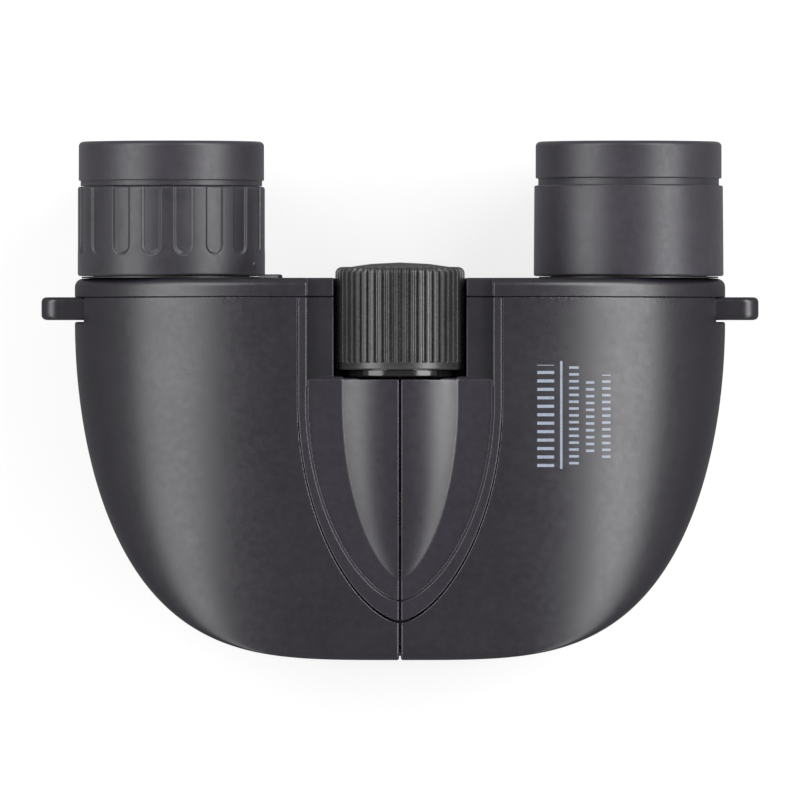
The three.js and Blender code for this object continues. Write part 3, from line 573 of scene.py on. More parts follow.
def rounded(profile, fine):
    """Profile corners (radius, y, rounding) as a smooth line: place, normal and wear of each point."""
    points = np.array([p[:2] for p in profile], float)
    radii = [p[2] if len(p) > 2 else 0.12 for p in profile]
    closed = points[0][0] > 0
    ring = points if closed else np.concatenate([points, [[0, points[-1][1]]]])
    area = 0.5 * np.sum(ring[:, 0] * np.roll(ring[:, 1], -1) - np.roll(ring[:, 0], -1) * ring[:, 1])
    turn = 1 if area > 0 else -1
    out = []
    count = len(points)
    for i in range(count):
        here = points[i]
        if not closed and i in (0, count - 1):
            way = points[1] - here if i == 0 else here - points[-2]
            way = way / np.linalg.norm(way)
            out.append((here, np.array([way[1], -way[0]]) * turn, 0.0))
            continue
        before, after = points[i - 1] - here, points[(i + 1) % count] - here
        size_a, size_b = np.linalg.norm(before), np.linalg.norm(after)
        before, after = before / size_a, after / size_b
        angle = math.acos(np.clip(before @ after, -1, 1))
        half = math.tan(angle / 2)
        radius = min(radii[i], 0.46 * min(size_a, size_b) * half)
        setback = radius / half
        start = here + before * setback
        normal_a = np.array([-before[1], before[0]]) * turn
        normal_b = np.array([after[1], -after[0]]) * turn
        convex = (normal_a @ after) < 0
        centre = start - normal_a * radius * (1 if convex else -1)
        sweep = math.pi - angle
        steps = max(2, int(math.ceil(sweep / math.radians(14))))
        for k in range(steps + 1):
            share = k / steps
            normal = normal_a * math.sin((1 - share) * sweep) + normal_b * math.sin(share * sweep)
            size = math.sin(sweep) if abs(math.sin(sweep)) > 1e-6 else 1
            normal = normal / size if abs(math.sin(sweep)) > 1e-6 else normal_a
            normal = normal / np.linalg.norm(normal)
            place = centre + normal * radius * (1 if convex else -1)
            out.append((place, normal, (1.0 if convex else 0.0) * min(1, 0.5 / max(radius, 0.2))))
    if fine:
        dense = []
        length = len(out)
        for i in range(length if closed else length - 1):
            a, b = out[i], out[(i + 1) % length]
            steps = max(1, int(math.ceil(np.linalg.norm(b[0] - a[0]) / fine)))
            for k in range(steps):
                s = k / steps
                wear = a[2] if k == 0 else 0.0
                dense.append((a[0] + (b[0] - a[0]) * s, a[1] + (b[1] - a[1]) * s, wear))
        if not closed:
            dense.append(out[-1])
        out = dense
    return (np.array([p for p, _, _ in out]), np.array([n for _, n, _ in out]),
            np.array([w for _, _, w in out]), closed)


def turned(profile, axis=(0.0, 0.0), segments=160, relief=None, fine=0.0):
    """A rounded profile turned about a line along Y. relief(angle, r, y) gives the depth cut into it."""
    line, normal, wear, closed = rounded(profile, fine)
    angle = np.arange(segments) * 2 * math.pi / segments
    r = np.repeat(line[:, 0][:, None], segments, 1)
    y = np.repeat(line[:, 1][:, None], segments, 1)
    theta = np.repeat(angle[None], len(line), 0)
    edge = np.repeat(wear[:, None], segments, 1)
    if relief:
        depth, extra = relief(theta, r, y)
        r = r - depth
        edge = np.clip(edge + extra, 0, 1)
    points = np.stack([axis[0] + r * np.sin(theta), y, axis[1] + r * np.cos(theta)], -1)
    rows = len(line)
    if relief:
        along = np.gradient(points, axis=0)
        if closed:
            along = np.roll(points, -1, 0) - np.roll(points, 1, 0)
        around = np.roll(points, -1, 1) - np.roll(points, 1, 1)
        normals = np.cross(around, along)
        expected = normal[:, 0][:, None, None] * np.stack([np.sin(theta), 0 * theta, np.cos(theta)], -1)
        expected = expected + normal[:, 1][:, None, None] * np.array([0, 1.0, 0])
        sign = np.sign((normals * expected).sum(-1, keepdims=True))
        normals = normals * np.where(sign == 0, 1, sign)
        weak = (np.linalg.norm(normals, axis=-1, keepdims=True) < 1e-9)
        normals = np.where(weak, expected, normals)
    else:
        normals = normal[:, 0][:, None, None] * np.stack([np.sin(theta), 0 * theta, np.cos(theta)], -1)
        normals = normals + normal[:, 1][:, None, None] * np.array([0, 1.0, 0])
    ids = np.arange(rows * segments).reshape(rows, segments)
    last = rows if closed else rows - 1
    quads = []
    for i in range(last):
        a, b = ids[i], ids[(i + 1) % rows]
        quads.append(np.stack([a, np.roll(a, -1), np.roll(b, -1), b], 1))
    quads = np.concatenate(quads)
    flat_points = points.reshape(-1, 3)
    flat_normals = unit(normals.reshape(-1, 3))
    if not closed:
        for row in (0, rows - 1):
            quads = np.where(np.isin(quads, ids[row]), ids[row][0], quads)
    triangles = np.concatenate([quads[:, [0, 1, 2]], quads[:, [0, 2, 3]]])
    distinct = ((triangles[:, 0] != triangles[:, 1]) & (triangles[:, 1] != triangles[:, 2])
                & (triangles[:, 2] != triangles[:, 0]))
    triangles = triangles[distinct]
    a, b, c = (flat_points[triangles[:, i]] for i in range(3))
    facing = (np.cross(b - a, c - a) * flat_normals[triangles[:, 1]]).sum(1)
    if np.sum(facing) < 0:
        triangles = triangles[:, ::-1]
    used = np.unique(triangles)
    renumber = np.zeros(len(flat_points), int)
    renumber[used] = np.arange(len(used))
    triangles = renumber[triangles]
    return flat_points[used], triangles, flat_normals[used][triangles.ravel()], edge.reshape(-1)[used]


# ---------------------------------------------------------------- objects

def make_object(name, shape, body, material, replaces=()):
    points, faces, normals, wear = shape
    mesh = raw_mesh(name, points, faces, MM)
    layer = mesh.attributes.new("wear", "FLOAT", "POINT")
    layer.data.foreach_set("value", np.asarray(wear, np.float32))
    if len(mesh.loops) == len(normals):
        mesh.normals_split_custom_set(normals.tolist())
    mesh.materials.append(material)
    piece = bpy.data.objects.new(name, mesh)
    bpy.context.scene.collection.objects.link(piece)
    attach(piece, body)
    if replaces:
        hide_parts(*replaces)


# ---------------------------------------------------------------- materials


class Nodes:
    """Short names for the shader nodes that the materials share."""

    def __init__(self, name):
        self.material = bpy.data.materials.new(name)
        self.material.use_nodes = True
        self.tree = self.material.node_tree
        self.shader = next(n for n in self.tree.nodes if n.type == "BSDF_PRINCIPLED")
        self.place = self.add("ShaderNodeTexCoord").outputs["Object"]

    def add(self, kind, **settings):
        node = self.tree.nodes.new(kind)
        for key, value in settings.items():
            setattr(node, key, value)
        return node

    def link(self, source, socket):
        if isinstance(source, (int, float, tuple)):
            socket.default_value = source
        else:
            self.tree.links.new(source, socket)

    def noise(self, scale, detail=2.0, rough=0.5, stretch=None):
        node = self.add("ShaderNodeTexNoise")
        node.inputs["Scale"].default_value = scale
        node.inputs["Detail"].default_value = detail
        node.inputs["Roughness"].default_value = rough
        place = self.place
        if stretch:
            mapping = self.add("ShaderNodeMapping")
            mapping.inputs["Scale"].default_value = stretch
            self.link(place, mapping.inputs["Vector"])
            place = mapping.outputs["Vector"]
        self.link(place, node.inputs["Vector"])
        return node.outputs["Fac"]

    def cells(self, scale):
        node = self.add("ShaderNodeTexVoronoi")
        node.inputs["Scale"].default_value = scale
        self.link(self.place, node.inputs["Vector"])
        return node.outputs["Distance"]

    def remap(self, value, low, high, to_low, to_high):
        node = self.add("ShaderNodeMapRange")
        names = ("From Min", "From Max", "To Min", "To Max")
        for key, number in zip(names, (low, high, to_low, to_high)):
            node.inputs[key].default_value = number
        self.link(value, node.inputs["Value"])
        return node.outputs["Result"]

    def math(self, operation, a, b=0.0):
        node = self.add("ShaderNodeMath", operation=operation)
        self.link(a, node.inputs[0])
        self.link(b, node.inputs[1])
        return node.outputs[0]

    def mix(self, factor, a, b):
        node = self.add("ShaderNodeMix", data_type="RGBA")
        colour = [s for s in node.inputs if s.type == "RGBA"]
        self.link(factor, node.inputs["Factor"])
        for value, socket in ((a, colour[0]), (b, colour[1])):
            self.link((*value, 1.0) if isinstance(value, tuple) else value, socket)
        return next(s for s in node.outputs if s.type == "RGBA")

    def attribute(self, name):
        return self.add("ShaderNodeAttribute", attribute_name=name).outputs["Fac"]

    def bump(self, height, strength, distance, under=None):
        node = self.add("ShaderNodeBump")
        node.inputs["Strength"].default_value = strength
        node.inputs["Distance"].default_value = distance
        self.link(height, node.inputs["Height"])
        if under is not None:
            self.link(under, node.inputs["Normal"])
        return node.outputs["Normal"]

    def set(self, **sockets):
        for name, value in sockets.items():
            self.link(value, self.shader.inputs[name.replace("_", " ")])


def moulded(name, base, light, rough, grain=5200.0, grain_depth=0.000012, print_mask=None):
    """Satin moulded plastic: fine grain, faint mottling, edges rubbed a little lighter and smoother."""
    n = Nodes(name)
    mottle = n.remap(n.noise(140, 4, 0.6), 0.35, 0.65, 0, 1)
    speck = n.remap(n.noise(2600, 2, 0.5), 0.45, 0.75, 0, 1)
    colour = n.mix(mottle, base, tuple(0.55 * b + 0.45 * c for b, c in zip(base, light)))
    colour = n.mix(n.math("MULTIPLY", speck, 0.35), colour, light)
    rubbed = n.math("MULTIPLY", n.attribute("wear"), n.remap(n.noise(420, 3, 0.6), 0.35, 0.7, 0.35, 1.0))
    colour = n.mix(n.math("MULTIPLY", rubbed, 0.5), colour, tuple(1.6 * c for c in light))
    roughness = n.remap(n.noise(900, 3, 0.6), 0.3, 0.7, rough - 0.04, rough + 0.04)
    roughness = n.math("ADD", roughness, n.remap(n.noise(60, 2, 0.5), 0.3, 0.7, -0.02, 0.02))
    roughness = n.math("SUBTRACT", roughness, n.math("MULTIPLY", rubbed, 0.08))
    if print_mask:
        ink, ink_colour = print_mask(n)
        colour = n.mix(ink, colour, ink_colour)
        roughness = n.math("ADD", roughness, n.math("MULTIPLY", ink, 0.12))
    fine = n.bump(n.noise(grain, 3, 0.6), 0.5, grain_depth)
    wavy = n.bump(n.noise(170, 2, 0.5), 0.25, 0.00006, fine)
    n.set(Base_Color=colour, Roughness=roughness, Normal=wavy)
    n.shader.inputs["Specular IOR Level"].default_value = 0.5
    return n.material


def rubbery(name, base, light, rough):
    """Soft matt rubber: close dull grain, a dusty bloom and scattered lint-sized specks."""
    n = Nodes(name)
    bloom = n.remap(n.noise(220, 5, 0.65), 0.35, 0.7, 0, 1)
    colour = n.mix(bloom, base, light)
    speck = n.remap(n.cells(1500), 0.0, 0.12, 1, 0)
    colour = n.mix(n.math("MULTIPLY", speck, 0.2), colour, tuple(2.2 * c for c in light))
    # The wear attribute holds rubbed edge wear. On the focus wheel it also holds a painted highlight
    # along the rib edges.
    rubbed = n.math("MULTIPLY", n.attribute("wear"), n.remap(n.noise(500, 3, 0.6), 0.3, 0.7, 0.3, 1.0))
    colour = n.mix(n.math("MULTIPLY", rubbed, 0.45), colour, tuple(1.5 * c for c in light))
    roughness = n.remap(n.noise(1200, 3, 0.6), 0.3, 0.7, rough - 0.05, rough + 0.05)
    grain = n.bump(n.noise(6500, 3, 0.65), 0.6, 0.000014)
    wavy = n.bump(n.noise(260, 2, 0.5), 0.2, 0.00005, grain)
    n.set(Base_Color=colour, Roughness=roughness, Normal=wavy)
    n.shader.inputs["Specular IOR Level"].default_value = 0.45
    n.shader.inputs["Sheen Weight"].default_value = 0.08
    n.shader.inputs["Sheen Roughness"].default_value = 0.5
    return n.material


def metal(name, base, light, rough, metallic=1.0):
    """Turned or brushed metal: fine drawn lines, slight tarnish and brighter edges."""
    n = Nodes(name)
    lines = n.noise(1400, 4, 0.6, stretch=(1, 18, 1))
    tarnish = n.remap(n.noise(260, 4, 0.6), 0.35, 0.7, 0, 1)
    colour = n.mix(tarnish, light, base)
    rubbed = n.math("MULTIPLY", n.attribute("wear"), 0.5)
    colour = n.mix(rubbed, colour, tuple(min(1.0, 1.25 * c) for c in light))
    roughness = n.remap(lines, 0.3, 0.7, rough - 0.07, rough + 0.07)
    n.set(Base_Color=colour, Roughness=roughness, Normal=n.bump(lines, 0.4, 0.000008))
    n.shader.inputs["Metallic"].default_value = metallic
    return n.material


def glass(name, tint, film):
    """Optical glass with a thin coating that colours its reflection, and the faintest dust on it."""
    n = Nodes(name)
    dust = n.remap(n.noise(1800, 3, 0.6), 0.62, 0.8, 0, 1)
    n.set(Base_Color=n.mix(n.math("MULTIPLY", dust, 0.06), tint, (0.8, 0.82, 0.82)),
          Roughness=n.remap(dust, 0, 1, 0.02, 0.14),
          Normal=n.bump(n.noise(300, 2, 0.5), 0.02, 0.00001))
    n.shader.inputs["Transmission Weight"].default_value = 1.0
    n.shader.inputs["IOR"].default_value = 1.52
    if film:
        n.shader.inputs["Thin Film Thickness"].default_value = film
        n.shader.inputs["Thin Film IOR"].default_value = 1.38
    return n.material


# A plain rule, and rows of plain ticks beside it, printed along the left half: (x0, x1), (y0, y1), pitch.
PRINT = (
    ((24.62, 24.98), (-10.6, 6.0), 0.0),
    ((21.1, 23.7), (-10.3, 5.4), 1.30),
    ((26.0, 27.5), (-9.9, 5.2), 1.05),
    ((28.6, 29.9), (-8.0, 3.4), 1.05),
    ((31.1, 32.4), (-8.9, 3.9), 1.05),
)
TICK_SHARE = 0.36


def printed(n):
    """The mask of the print, a little worn, and the ink's colour."""
    split = n.add("ShaderNodeSeparateXYZ")
    n.link(n.place, split.inputs["Vector"])
    x, y, z = (split.outputs[i] for i in range(3))

    def between(value, low, high):
        above = n.math("GREATER_THAN", value, low * MM)
        return n.math("MULTIPLY", above, n.math("LESS_THAN", value, high * MM))

    total = 0.0
    for (x0, x1), (y0, y1), pitch in PRINT:
        row = n.math("MULTIPLY", between(x, x0, x1), between(y, y0, y1))
        if pitch:
            share = n.math("FRACT", n.math("DIVIDE", n.math("SUBTRACT", y, y0 * MM), pitch * MM))
            row = n.math("MULTIPLY", row, n.math("LESS_THAN", share, TICK_SHARE))
        total = n.math("MAXIMUM", total, row)
    total = n.math("MULTIPLY", total, n.math("GREATER_THAN", z, 25 * MM))
    worn = n.remap(n.noise(3200, 3, 0.6), 0.3, 0.5, 0.7, 0.95)
    return n.math("MULTIPLY", total, worn), (0.17, 0.20, 0.25)


SHELL = ((0.0052, 0.0040, 0.0070), (0.0104, 0.0086, 0.0130), 0.33)
MATERIALS = {
    "shell": moulded("satin_black_shell", *SHELL),
    "printed_shell": moulded("satin_black_shell_printed", *SHELL, print_mask=printed),
    "panel": moulded("satin_panel", (0.0080, 0.0064, 0.0106), (0.0140, 0.0118, 0.0176), 0.33,
                     grain=4200.0),
    "rubber": rubbery("matt_rubber", (0.0072, 0.0060, 0.0094), (0.0150, 0.0130, 0.0186), 0.42),
    "wheel": rubbery("wheel_rubber", (0.0100, 0.0098, 0.0106), (0.0220, 0.0216, 0.0230), 0.28),
    "gloss": moulded("gloss_black_plastic", (0.004, 0.004, 0.0043), (0.008, 0.008, 0.0085), 0.21,
                     grain_depth=0.000003),
    "black_metal": metal("black_anodised", (0.012, 0.012, 0.013), (0.03, 0.03, 0.032), 0.38, 0.4),
    "steel": metal("brushed_steel", (0.38, 0.385, 0.39), (0.56, 0.565, 0.57), 0.3),
    "black_steel": metal("blackened_steel", (0.05, 0.05, 0.052), (0.11, 0.11, 0.115), 0.36),
    # Bronze for the focus screw, carriage and hinge bush. Its colour is darkened as painted shade so that
    # these parts read dark through the gaps between the halves.
    "brass": metal("bronze_darkened_as_painted_shade", (0.085, 0.060, 0.032), (0.17, 0.125, 0.068), 0.34),
    "frame": moulded("grey_frame", (0.045, 0.046, 0.048), (0.08, 0.081, 0.084), 0.5),
    "coated": glass("coated_glass", (0.93, 0.97, 0.95), 430.0),
    "prism": glass("prism_glass", (0.95, 0.98, 0.97), 0.0),
}


def replace_node(node, shape, body, material):
    """The visual form of a CAD node, in the material of that name."""
    make_object(f"{node}_form", shape, body, MATERIALS[material], [node])


# ---------------------------------------------------------------- housings, plates and panels

housing_shape = surface(housing_field, (-0.6, -40.6, -0.6), (51.2, 16.6, 40.4), 0.21, 150000)
panel_shape = surface(panel_field, (-0.3, -34.6, 37.3), (16.4, 16.4, 42.2), 0.14, 110000)
plate_shape = surface(end_plate_field, (-0.3, 15.8, -0.5), (51.2, 19.2, 40.2), 0.16, 90000)
lug_shape = surface(lug_field, (46.4, 10.9, 9.9), (56.0, 16.4, 23.1), 0.14, 24000)
screw_shape = surface(screw_field, (-2, 11, -2), (2, 18.9, 2), 0.07, 9000)
cell_shape = surface(cell_field, (3, -31.4, 8.4), (31.6, -15.4, 33.6), 0.22, 50000)

for word, side in SIDES.items():
    half = f"{word}_half"
    shell = "printed_shell" if side > 0 else "shell"
    replace_node(f"{word}_housing", sided(housing_shape, side), half, shell)
    replace_node(f"{word}_centre_panel", sided(panel_shape, side), half, "panel")
    replace_node(f"{word}_end_plate", sided(plate_shape, side), half, "shell")
    replace_node(f"{word}_strap_lug", sided(lug_shape, side), half, "shell")
    for k, (x, z) in enumerate(SCREW_PLACES):
        screw = moved(screw_shape, (side * x, 0, z))
        replace_node(f"{word}_plate_screw_{k + 1}", screw, half, "black_steel")
    cell = sided(cell_shape, side)
    replace_node(f"{word}_objective_cell", cell, f"{word}_objective", "black_metal")
    for k, (y0, y1, bore) in enumerate(KNUCKLES[word]):
        low, high = (-5.8, y0 - 0.5, 24.5), (7.6, y1 + 0.5, 37.8)
        knuckle = sided(surface(knuckle_field(y0, y1, bore), low, high, 0.2, 16000), side)
        make_object(f"{word}_hinge_knuckle_{k + 1}", knuckle, half, MATERIALS["shell"])

index_shape = surface(index_field, (-24, 18.2, 24), (-16, 19.8, 30.5), 0.08, 9000)
make_object("dioptre_index_mark", index_shape, "right_half", MATERIALS["panel"])

# ---------------------------------------------------------------- optics


def objective_parts(word, side):
    crown = [
        (0, -29.0), (5.5, -28.55, 12), (10.8, -26.8, 0.15), (10.8, -25.8, 0.15), (6, -24.62, 12),
        (0, -24.2)]
    flint = [(0, -23.9), (6, -24.3, 12), (10.8, -25.45, 0.15), (10.8, -22.8, 0.15), (0, -22.6)]
    retainer = [(10.5, -28.7, 0.1), (10.9, -28.7, 0.1), (10.9, -27.1, 0.05), (10.5, -27.1, 0.05)]
    hood = [
        (11.3, -35.3, 0.12), (11.8, -35.3, 0.15), (11.8, -33.6, 0.1), (10.6, -33.6, 0.1),
        (10.6, -34.2, 0.15)]
    axis = (side * OBJECTIVE[0], OBJECTIVE[1])
    lens_body, half = f"{word}_objective", f"{word}_half"
    for part, profile, body, slot, material in (
            ("crown", crown, lens_body, "coated_glass", "coated"),
            ("flint", flint, lens_body, "coated_glass", "prism"),
            ("retainer", retainer, lens_body, "black_metal", "black_metal"),
            ("hood", hood, half, "shell", "gloss")):
        replace_node(f"{word}_objective_{part}", turned(profile, axis), body, material)


def eyepiece_parts(word, side):
    tube = [
        (9.5, 13.2, 0.1), (11, 13.2, 0.2), (11, 18.86, 0.05), (13.9, 18.86, 0.05), (13.9, 19.08, 0.05),
        (12.1, 19.08, 0.05), (12.1, 34.2, 0.15), (9.5, 34.2, 0.15)]
    sleeve = [(8.9, 15, 0.1), (9.2, 15, 0.1), (9.2, 33.8, 0.1), (8.9, 33.8, 0.1)]
    field_lens = [
        (0, 15.8), (5.16, 16.28, 10), (8.6, 17, 0.15), (8.6, 18.6, 0.15), (5.16, 19.32, 10), (0, 19.8)]
    eye_lens = [
        (0, 27.2), (5.16, 27.76, 10), (8.6, 28.6, 0.15), (8.6, 30.6, 0.15), (5.16, 31.44, 10), (0, 32.0)]
    ring = [(8, 34.9, 0.1), (12.1, 34.9, 0.15), (12.1, 35.7, 0.15), (9.2, 35.7, 0.25), (8, 35.2, 0.12)]
    axis = (side * EYEPIECE[0], EYEPIECE[1])
    lens_body = "right_eyepiece_lenses" if side < 0 else "left_half"
    for part, profile, body, slot, material in (
            ("eyepiece_tube", tube, f"{word}_half", "black_metal", "black_metal"),
            ("lens_sleeve", sleeve, lens_body, "black_metal", "black_metal"),
            ("field_lens", field_lens, lens_body, "coated_glass", "prism"),
            ("eye_lens", eye_lens, lens_body, "coated_glass", "coated"),
            ("eye_ring", ring, lens_body, "black_metal", "gloss")):
        replace_node(f"{word}_{part}", turned(profile, axis), body, material)


for word, side in SIDES.items():
    objective_parts(word, side)
    eyepiece_parts(word, side)

PLAIN_EYECUP = [
    (12.4, 19.2, 0.1), (14.7, 19.2, 0.3), (14.6, 33.2, 0.25), (14.0, 33.2, 0.12), (14.0, 34.3, 0.12),
    (14.4, 34.3, 0.2), (14.4, 40.0, 1.0), (12.75, 40.0, 0.35), (12.5, 36.4, 0.3), (12.4, 35.9, 0.1)]
RING_EYECUP = [
    (12.4, 33.1, 0.1), (14.05, 33.1, 0.1), (14.05, 33.95, 0.1), (14.35, 33.95, 0.15), (14.35, 40.0, 1.1),
    (12.75, 40.0, 0.35), (12.5, 36.4, 0.3), (12.4, 35.9, 0.1)]
DIOPTRE_RING = [(12.4, 19.2, 0.1), (14.5, 19.2, 0.35), (14.5, 33.0, 0.35), (12.4, 33.0, 0.1)]
FLUTE_WIDTH = 1.55
FLUTE_DEPTH = 0.30
FLUTE_EDGE = 0.34
FLUTE_FOOT_Y = 22.4
FLUTE_START = math.radians(8.3)
FLUTE_PITCH = math.radians(20)


def flutes(theta, r, y):
    """Shallow finger flutes, round at the foot and open at the top, and the index dot below them."""
    sideways = ((theta - FLUTE_START + FLUTE_PITCH / 2) % FLUTE_PITCH - FLUTE_PITCH / 2) * 14.5
    below = np.maximum(FLUTE_FOOT_Y + FLUTE_WIDTH - y, 0)
    inside = FLUTE_WIDTH - np.hypot(sideways, below)
    share = np.clip(inside / FLUTE_EDGE, 0, 1)
    outer = np.clip((r - 13.2) / 0.8, 0, 1)
    depth = FLUTE_DEPTH * share * share * (3 - 2 * share) * outer
    edge = np.exp(-((inside - 0.05) / 0.1) ** 2) * outer
    from_dot = np.hypot((theta - INDEX_ANGLE) * 14.5, y - 21.0)
    raised = np.clip((0.5 - from_dot) / 0.2, 0, 1) * outer
    return depth - 0.2 * raised, np.clip(edge + raised, 0, 1) * 0.8


RIGHT_EYE = (-EYEPIECE[0], EYEPIECE[1])
replace_node("left_eyecup", turned(PLAIN_EYECUP, EYEPIECE, 192), "left_half", "rubber")
replace_node("right_eyecup", turned(RING_EYECUP, RIGHT_EYE, 192), "dioptre_control", "rubber")
ring_shape = turned(DIOPTRE_RING, RIGHT_EYE, 792, flutes, 0.32)
replace_node("dioptre_ring", ring_shape, "dioptre_control", "rubber")

# ---------------------------------------------------------------- focus wheel and hinge

WHEEL_RIBS = 48
RIB_DEPTH = 0.55
RIB_TOP = 0.13
RIB_SIDE = 0.27
WHEEL = [
    (0, 18.3), (2.3, 18.3, 0.1), (2.3, 4.67, 0.15), (9.98, 4.67, 0.25), (9.98, 5.7, 9), (9.98, 5.95, 9),
    (9.98, 20.5, 1.25), (7.8, 20.5, 0.25), (7.8, 19.9, 0.1), (0, 19.9)]
NECK = [
    (2.4, 3.08, 0.1), (5.2, 3.08, 0.1), (5.3, 3.5, 0.05), (8.5, 3.5, 0.3), (8.5, 4.62, 0.1),
    (2.4, 4.62, 0.1)]
CAP = [(0, 20.2), (7.45, 20.2, 0.1), (7.45, 20.55, 0.3), (4.5, 20.98, 9), (0, 21.2)]


def ribs(theta, r, y):
    phase = (theta * WHEEL_RIBS / (2 * math.pi)) % 1.0
    away = np.abs(phase - 0.5)
    share = np.clip((away - RIB_TOP) / RIB_SIDE, 0, 1)
    groove = share * share * (3 - 2 * share)
    start = np.clip((y - 5.7) / 0.25, 0, 1)
    reach = np.clip((r - 8.0) / 0.5, 0, 1)
    depth = RIB_DEPTH * groove * start * reach
    # The lighter band just below each rib's top edge goes into the wear attribute. It is partly rubbed
    # edge wear and partly a painted highlight for the bright lines along the rib edges.
    edge = np.exp(-((share - 0.2) / 0.12) ** 2) * start * reach
    return depth, edge * 0.8


wheel_shape = turned(WHEEL, HINGE, WHEEL_RIBS * 15, ribs, 0.55)
replace_node("focus_wheel", wheel_shape, "focus_wheel", "wheel")
make_object("focus_wheel_neck", turned(NECK, HINGE, 160), "focus_wheel", MATERIALS["gloss"])
replace_node("wheel_cap", turned(CAP, HINGE, 160), "focus_wheel", "panel")

SCREW_PITCH = 3.0


def thread(theta, r, y):
    turn = (y / SCREW_PITCH - theta / (2 * math.pi)) % 1.0
    depth = 0.34 * np.clip(1.6 * (np.abs(turn - 0.5) * 2) - 0.3, 0, 1)
    return depth * (r > 1.0) * (y < -9.5) * (y > -24), 0 * depth


SCREW = [
    (0, -26.6), (1.1, -26.6, 0.2), (1.1, -24.5, 0.05), (2.0, -24.5, 0.4), (2.0, 18.0, 0.2), (0, 18.0)]
CARRIAGE = [
    (2.3, -21, 0.2), (4.9, -21, 0.35), (4.9, -19.1, 0.2), (3.6, -19.1, 0.15), (3.6, -15.9, 0.15),
    (4.9, -15.9, 0.2), (4.9, -14, 0.35), (2.3, -14, 0.2)]
BUSH = [(2.3, -8.8, 0.15), (3.4, -8.8, 0.3), (3.4, 3.2, 0.3), (2.3, 3.2, 0.15)]
PIN = [
    (0, -36.9), (1.4, -36.9, 0.1), (1.4, -37.9, 0.1), (2.3, -37.9, 0.3), (2.3, -26.0, 0.3),
    (1.4, -26.0, 0.1), (1.4, -27.0, 0.1), (0, -27.0)]
HINGE_CAP = [
    (0, -39.4), (4.3, -39.4, 0.5), (4.8, -38.9, 0.5), (4.8, -38.2, 0.2), (1.1, -38.2, 0.05),
    (1.1, -37.3, 0.15), (0, -37.3)]

replace_node("focus_screw", turned(SCREW, HINGE, 64, thread, 0.2), "focus_wheel", "brass")
replace_node("focus_carriage", turned(CARRIAGE, HINGE, 128), "focus_carriage", "brass")
for node, profile, segments, slot, material in (
        ("hinge_bush", BUSH, 96, "brass", "brass"),
        ("hinge_pin", PIN, 96, "steel", "steel"),
        ("hinge_cap", HINGE_CAP, 128, "shell", "shell")):
    body = frame["nodes"][node]["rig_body"]
    replace_node(node, turned(profile, HINGE, segments), body, material)

# ---------------------------------------------------------------- CAD nodes that stay

KEPT = {"prism_frame": "frame", "prism_clip": "steel", "prism": "prism"}
for name, node in frame["nodes"].items():
    found = next((KEPT[word] for word in KEPT if name.endswith(word)), None)
    if found:
        for held in node.material_slots:
            held.material = MATERIALS[found]

# ---------------------------------------------------------------- floor, light and camera


FLOOR_SIZE = 12.0
FLOOR_Z = -0.0002


def floor():
    n = Nodes("pale_floor")
    mottle = n.remap(n.noise(9, 4, 0.6), 0.3, 0.7, 0, 1)
    n.set(Base_Color=n.mix(mottle, (0.20, 0.20, 0.20), (0.22, 0.22, 0.22)),
          Roughness=n.remap(n.noise(40, 3, 0.6), 0.3, 0.7, 0.75, 0.85))
    n.shader.inputs["Specular IOR Level"].default_value = 0.2
    n.shader.inputs["Emission Color"].default_value = (1.0, 1.0, 1.0, 1.0)
    n.shader.inputs["Emission Strength"].default_value = 0.72
    corners = [(x * FLOOR_SIZE, y * FLOOR_SIZE, FLOOR_Z) for x, y in ((-1, -1), (1, -1), (1, 1), (-1, 1))]
    mesh = bpy.data.meshes.new("floor")
    mesh.from_pydata(corners, [], [(0, 1, 2, 3)])
    mesh.materials.append(n.material)
    piece = bpy.data.objects.new("floor", mesh)
    bpy.context.scene.collection.objects.link(piece)
    piece.visible_glossy = False
    piece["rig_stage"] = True


floor()
CENTRE = (0.0, 0.0, 0.02)
BOX_DISTANCE = 0.85


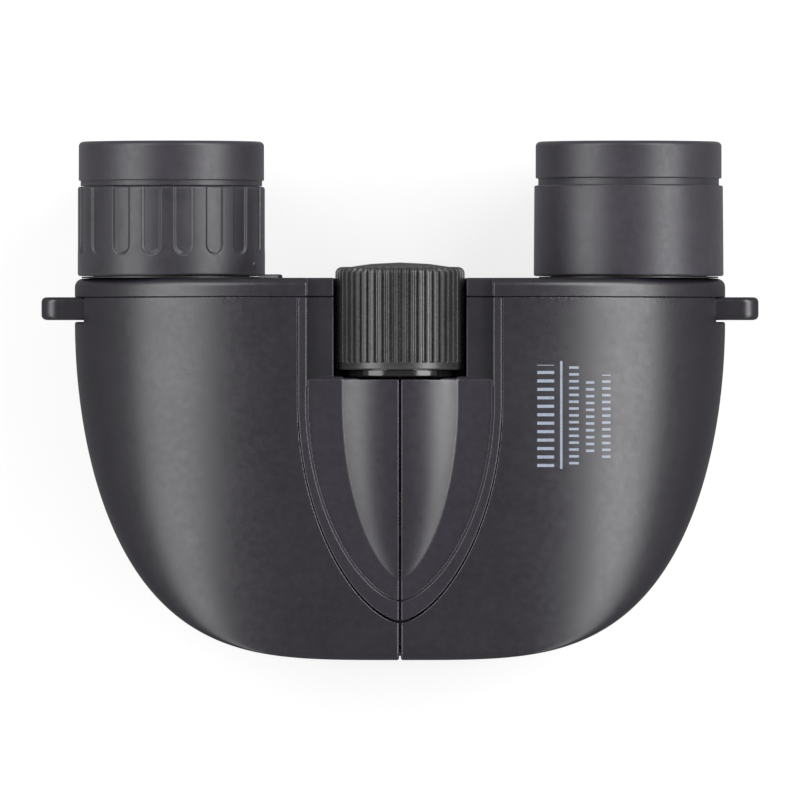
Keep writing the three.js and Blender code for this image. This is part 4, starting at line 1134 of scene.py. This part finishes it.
def softbox(name, azimuth, elevation, height, length, radiance, roll=0.0):
    """A softbox that faces the object. Azimuth 0 is towards +X and 90 towards +Y."""
    a, e = math.radians(azimuth), math.radians(elevation)
    way = Vector((math.cos(a) * math.cos(e), math.sin(a) * math.cos(e), math.sin(e)))
    data = bpy.data.lights.new(name, "AREA")
    data.shape = "RECTANGLE"
    data.size, data.size_y = length, height
    data.energy = radiance * math.pi * height * length
    light = bpy.data.objects.new(name, data)
    bpy.context.scene.collection.objects.link(light)
    light.location = Vector(CENTRE) + way * BOX_DISTANCE
    light.rotation_mode = "QUATERNION"
    about_beam = Quaternion((0, 0, 1), math.radians(roll))
    light.rotation_quaternion = (-way).to_track_quat("-Z", "Y") @ about_beam
    light.visible_camera = False


softbox("softbox_right", 26, 42, 0.46, 0.86, 8.3)
softbox("softbox_right_front", -36, 31, 0.36, 0.70, 3.6, 16)
softbox("softbox_left", 156, 40, 0.50, 0.86, 5.5)
softbox("softbox_left_front", 216, 32, 0.38, 0.70, 2.9, -16)

# The room: brightest at eye level
ROOM = ((-1.0, 0.20), (-0.3, 0.38), (0.05, 0.64), (0.35, 0.56), (0.85, 0.44))
world = bpy.data.worlds.new("studio")
world.use_nodes = True
sky = world.node_tree
backdrop = sky.nodes["Background"]
backdrop.inputs["Strength"].default_value = 1.0
height = sky.nodes.new("ShaderNodeSeparateXYZ")
spread = sky.nodes.new("ShaderNodeMapRange")
spread.inputs["From Min"].default_value = -1.0
fade = sky.nodes.new("ShaderNodeValToRGB")
while len(fade.color_ramp.elements) < len(ROOM):
    fade.color_ramp.elements.new(0.5)
for element, (level, strength) in zip(fade.color_ramp.elements, ROOM):
    element.position = (level + 1) / 2
    element.color = (strength, strength, strength, 1.0)
sky.links.new(sky.nodes.new("ShaderNodeTexCoord").outputs["Generated"], height.inputs["Vector"])
sky.links.new(height.outputs["Z"], spread.inputs["Value"])
sky.links.new(spread.outputs["Result"], fade.inputs["Fac"])
sky.links.new(fade.outputs["Color"], backdrop.inputs["Color"])
bpy.context.scene.world = world
bpy.context.scene.view_settings.view_transform = "Standard"

VIEW_WIDTH = 0.124
camera_data = bpy.data.cameras.new("camera")
camera_data.lens = 800.0
camera_data.sensor_width = 36.0
camera_data.clip_end = 20.0
camera = bpy.data.objects.new("camera", camera_data)
bpy.context.scene.collection.objects.link(camera)
camera.location = (0.0, 0.0, WIDEST_Z * MM + VIEW_WIDTH * camera_data.lens / camera_data.sensor_width)
camera.rotation_euler = (0.0, 0.0, 0.0)
bpy.context.scene.camera = camera

low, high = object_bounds()
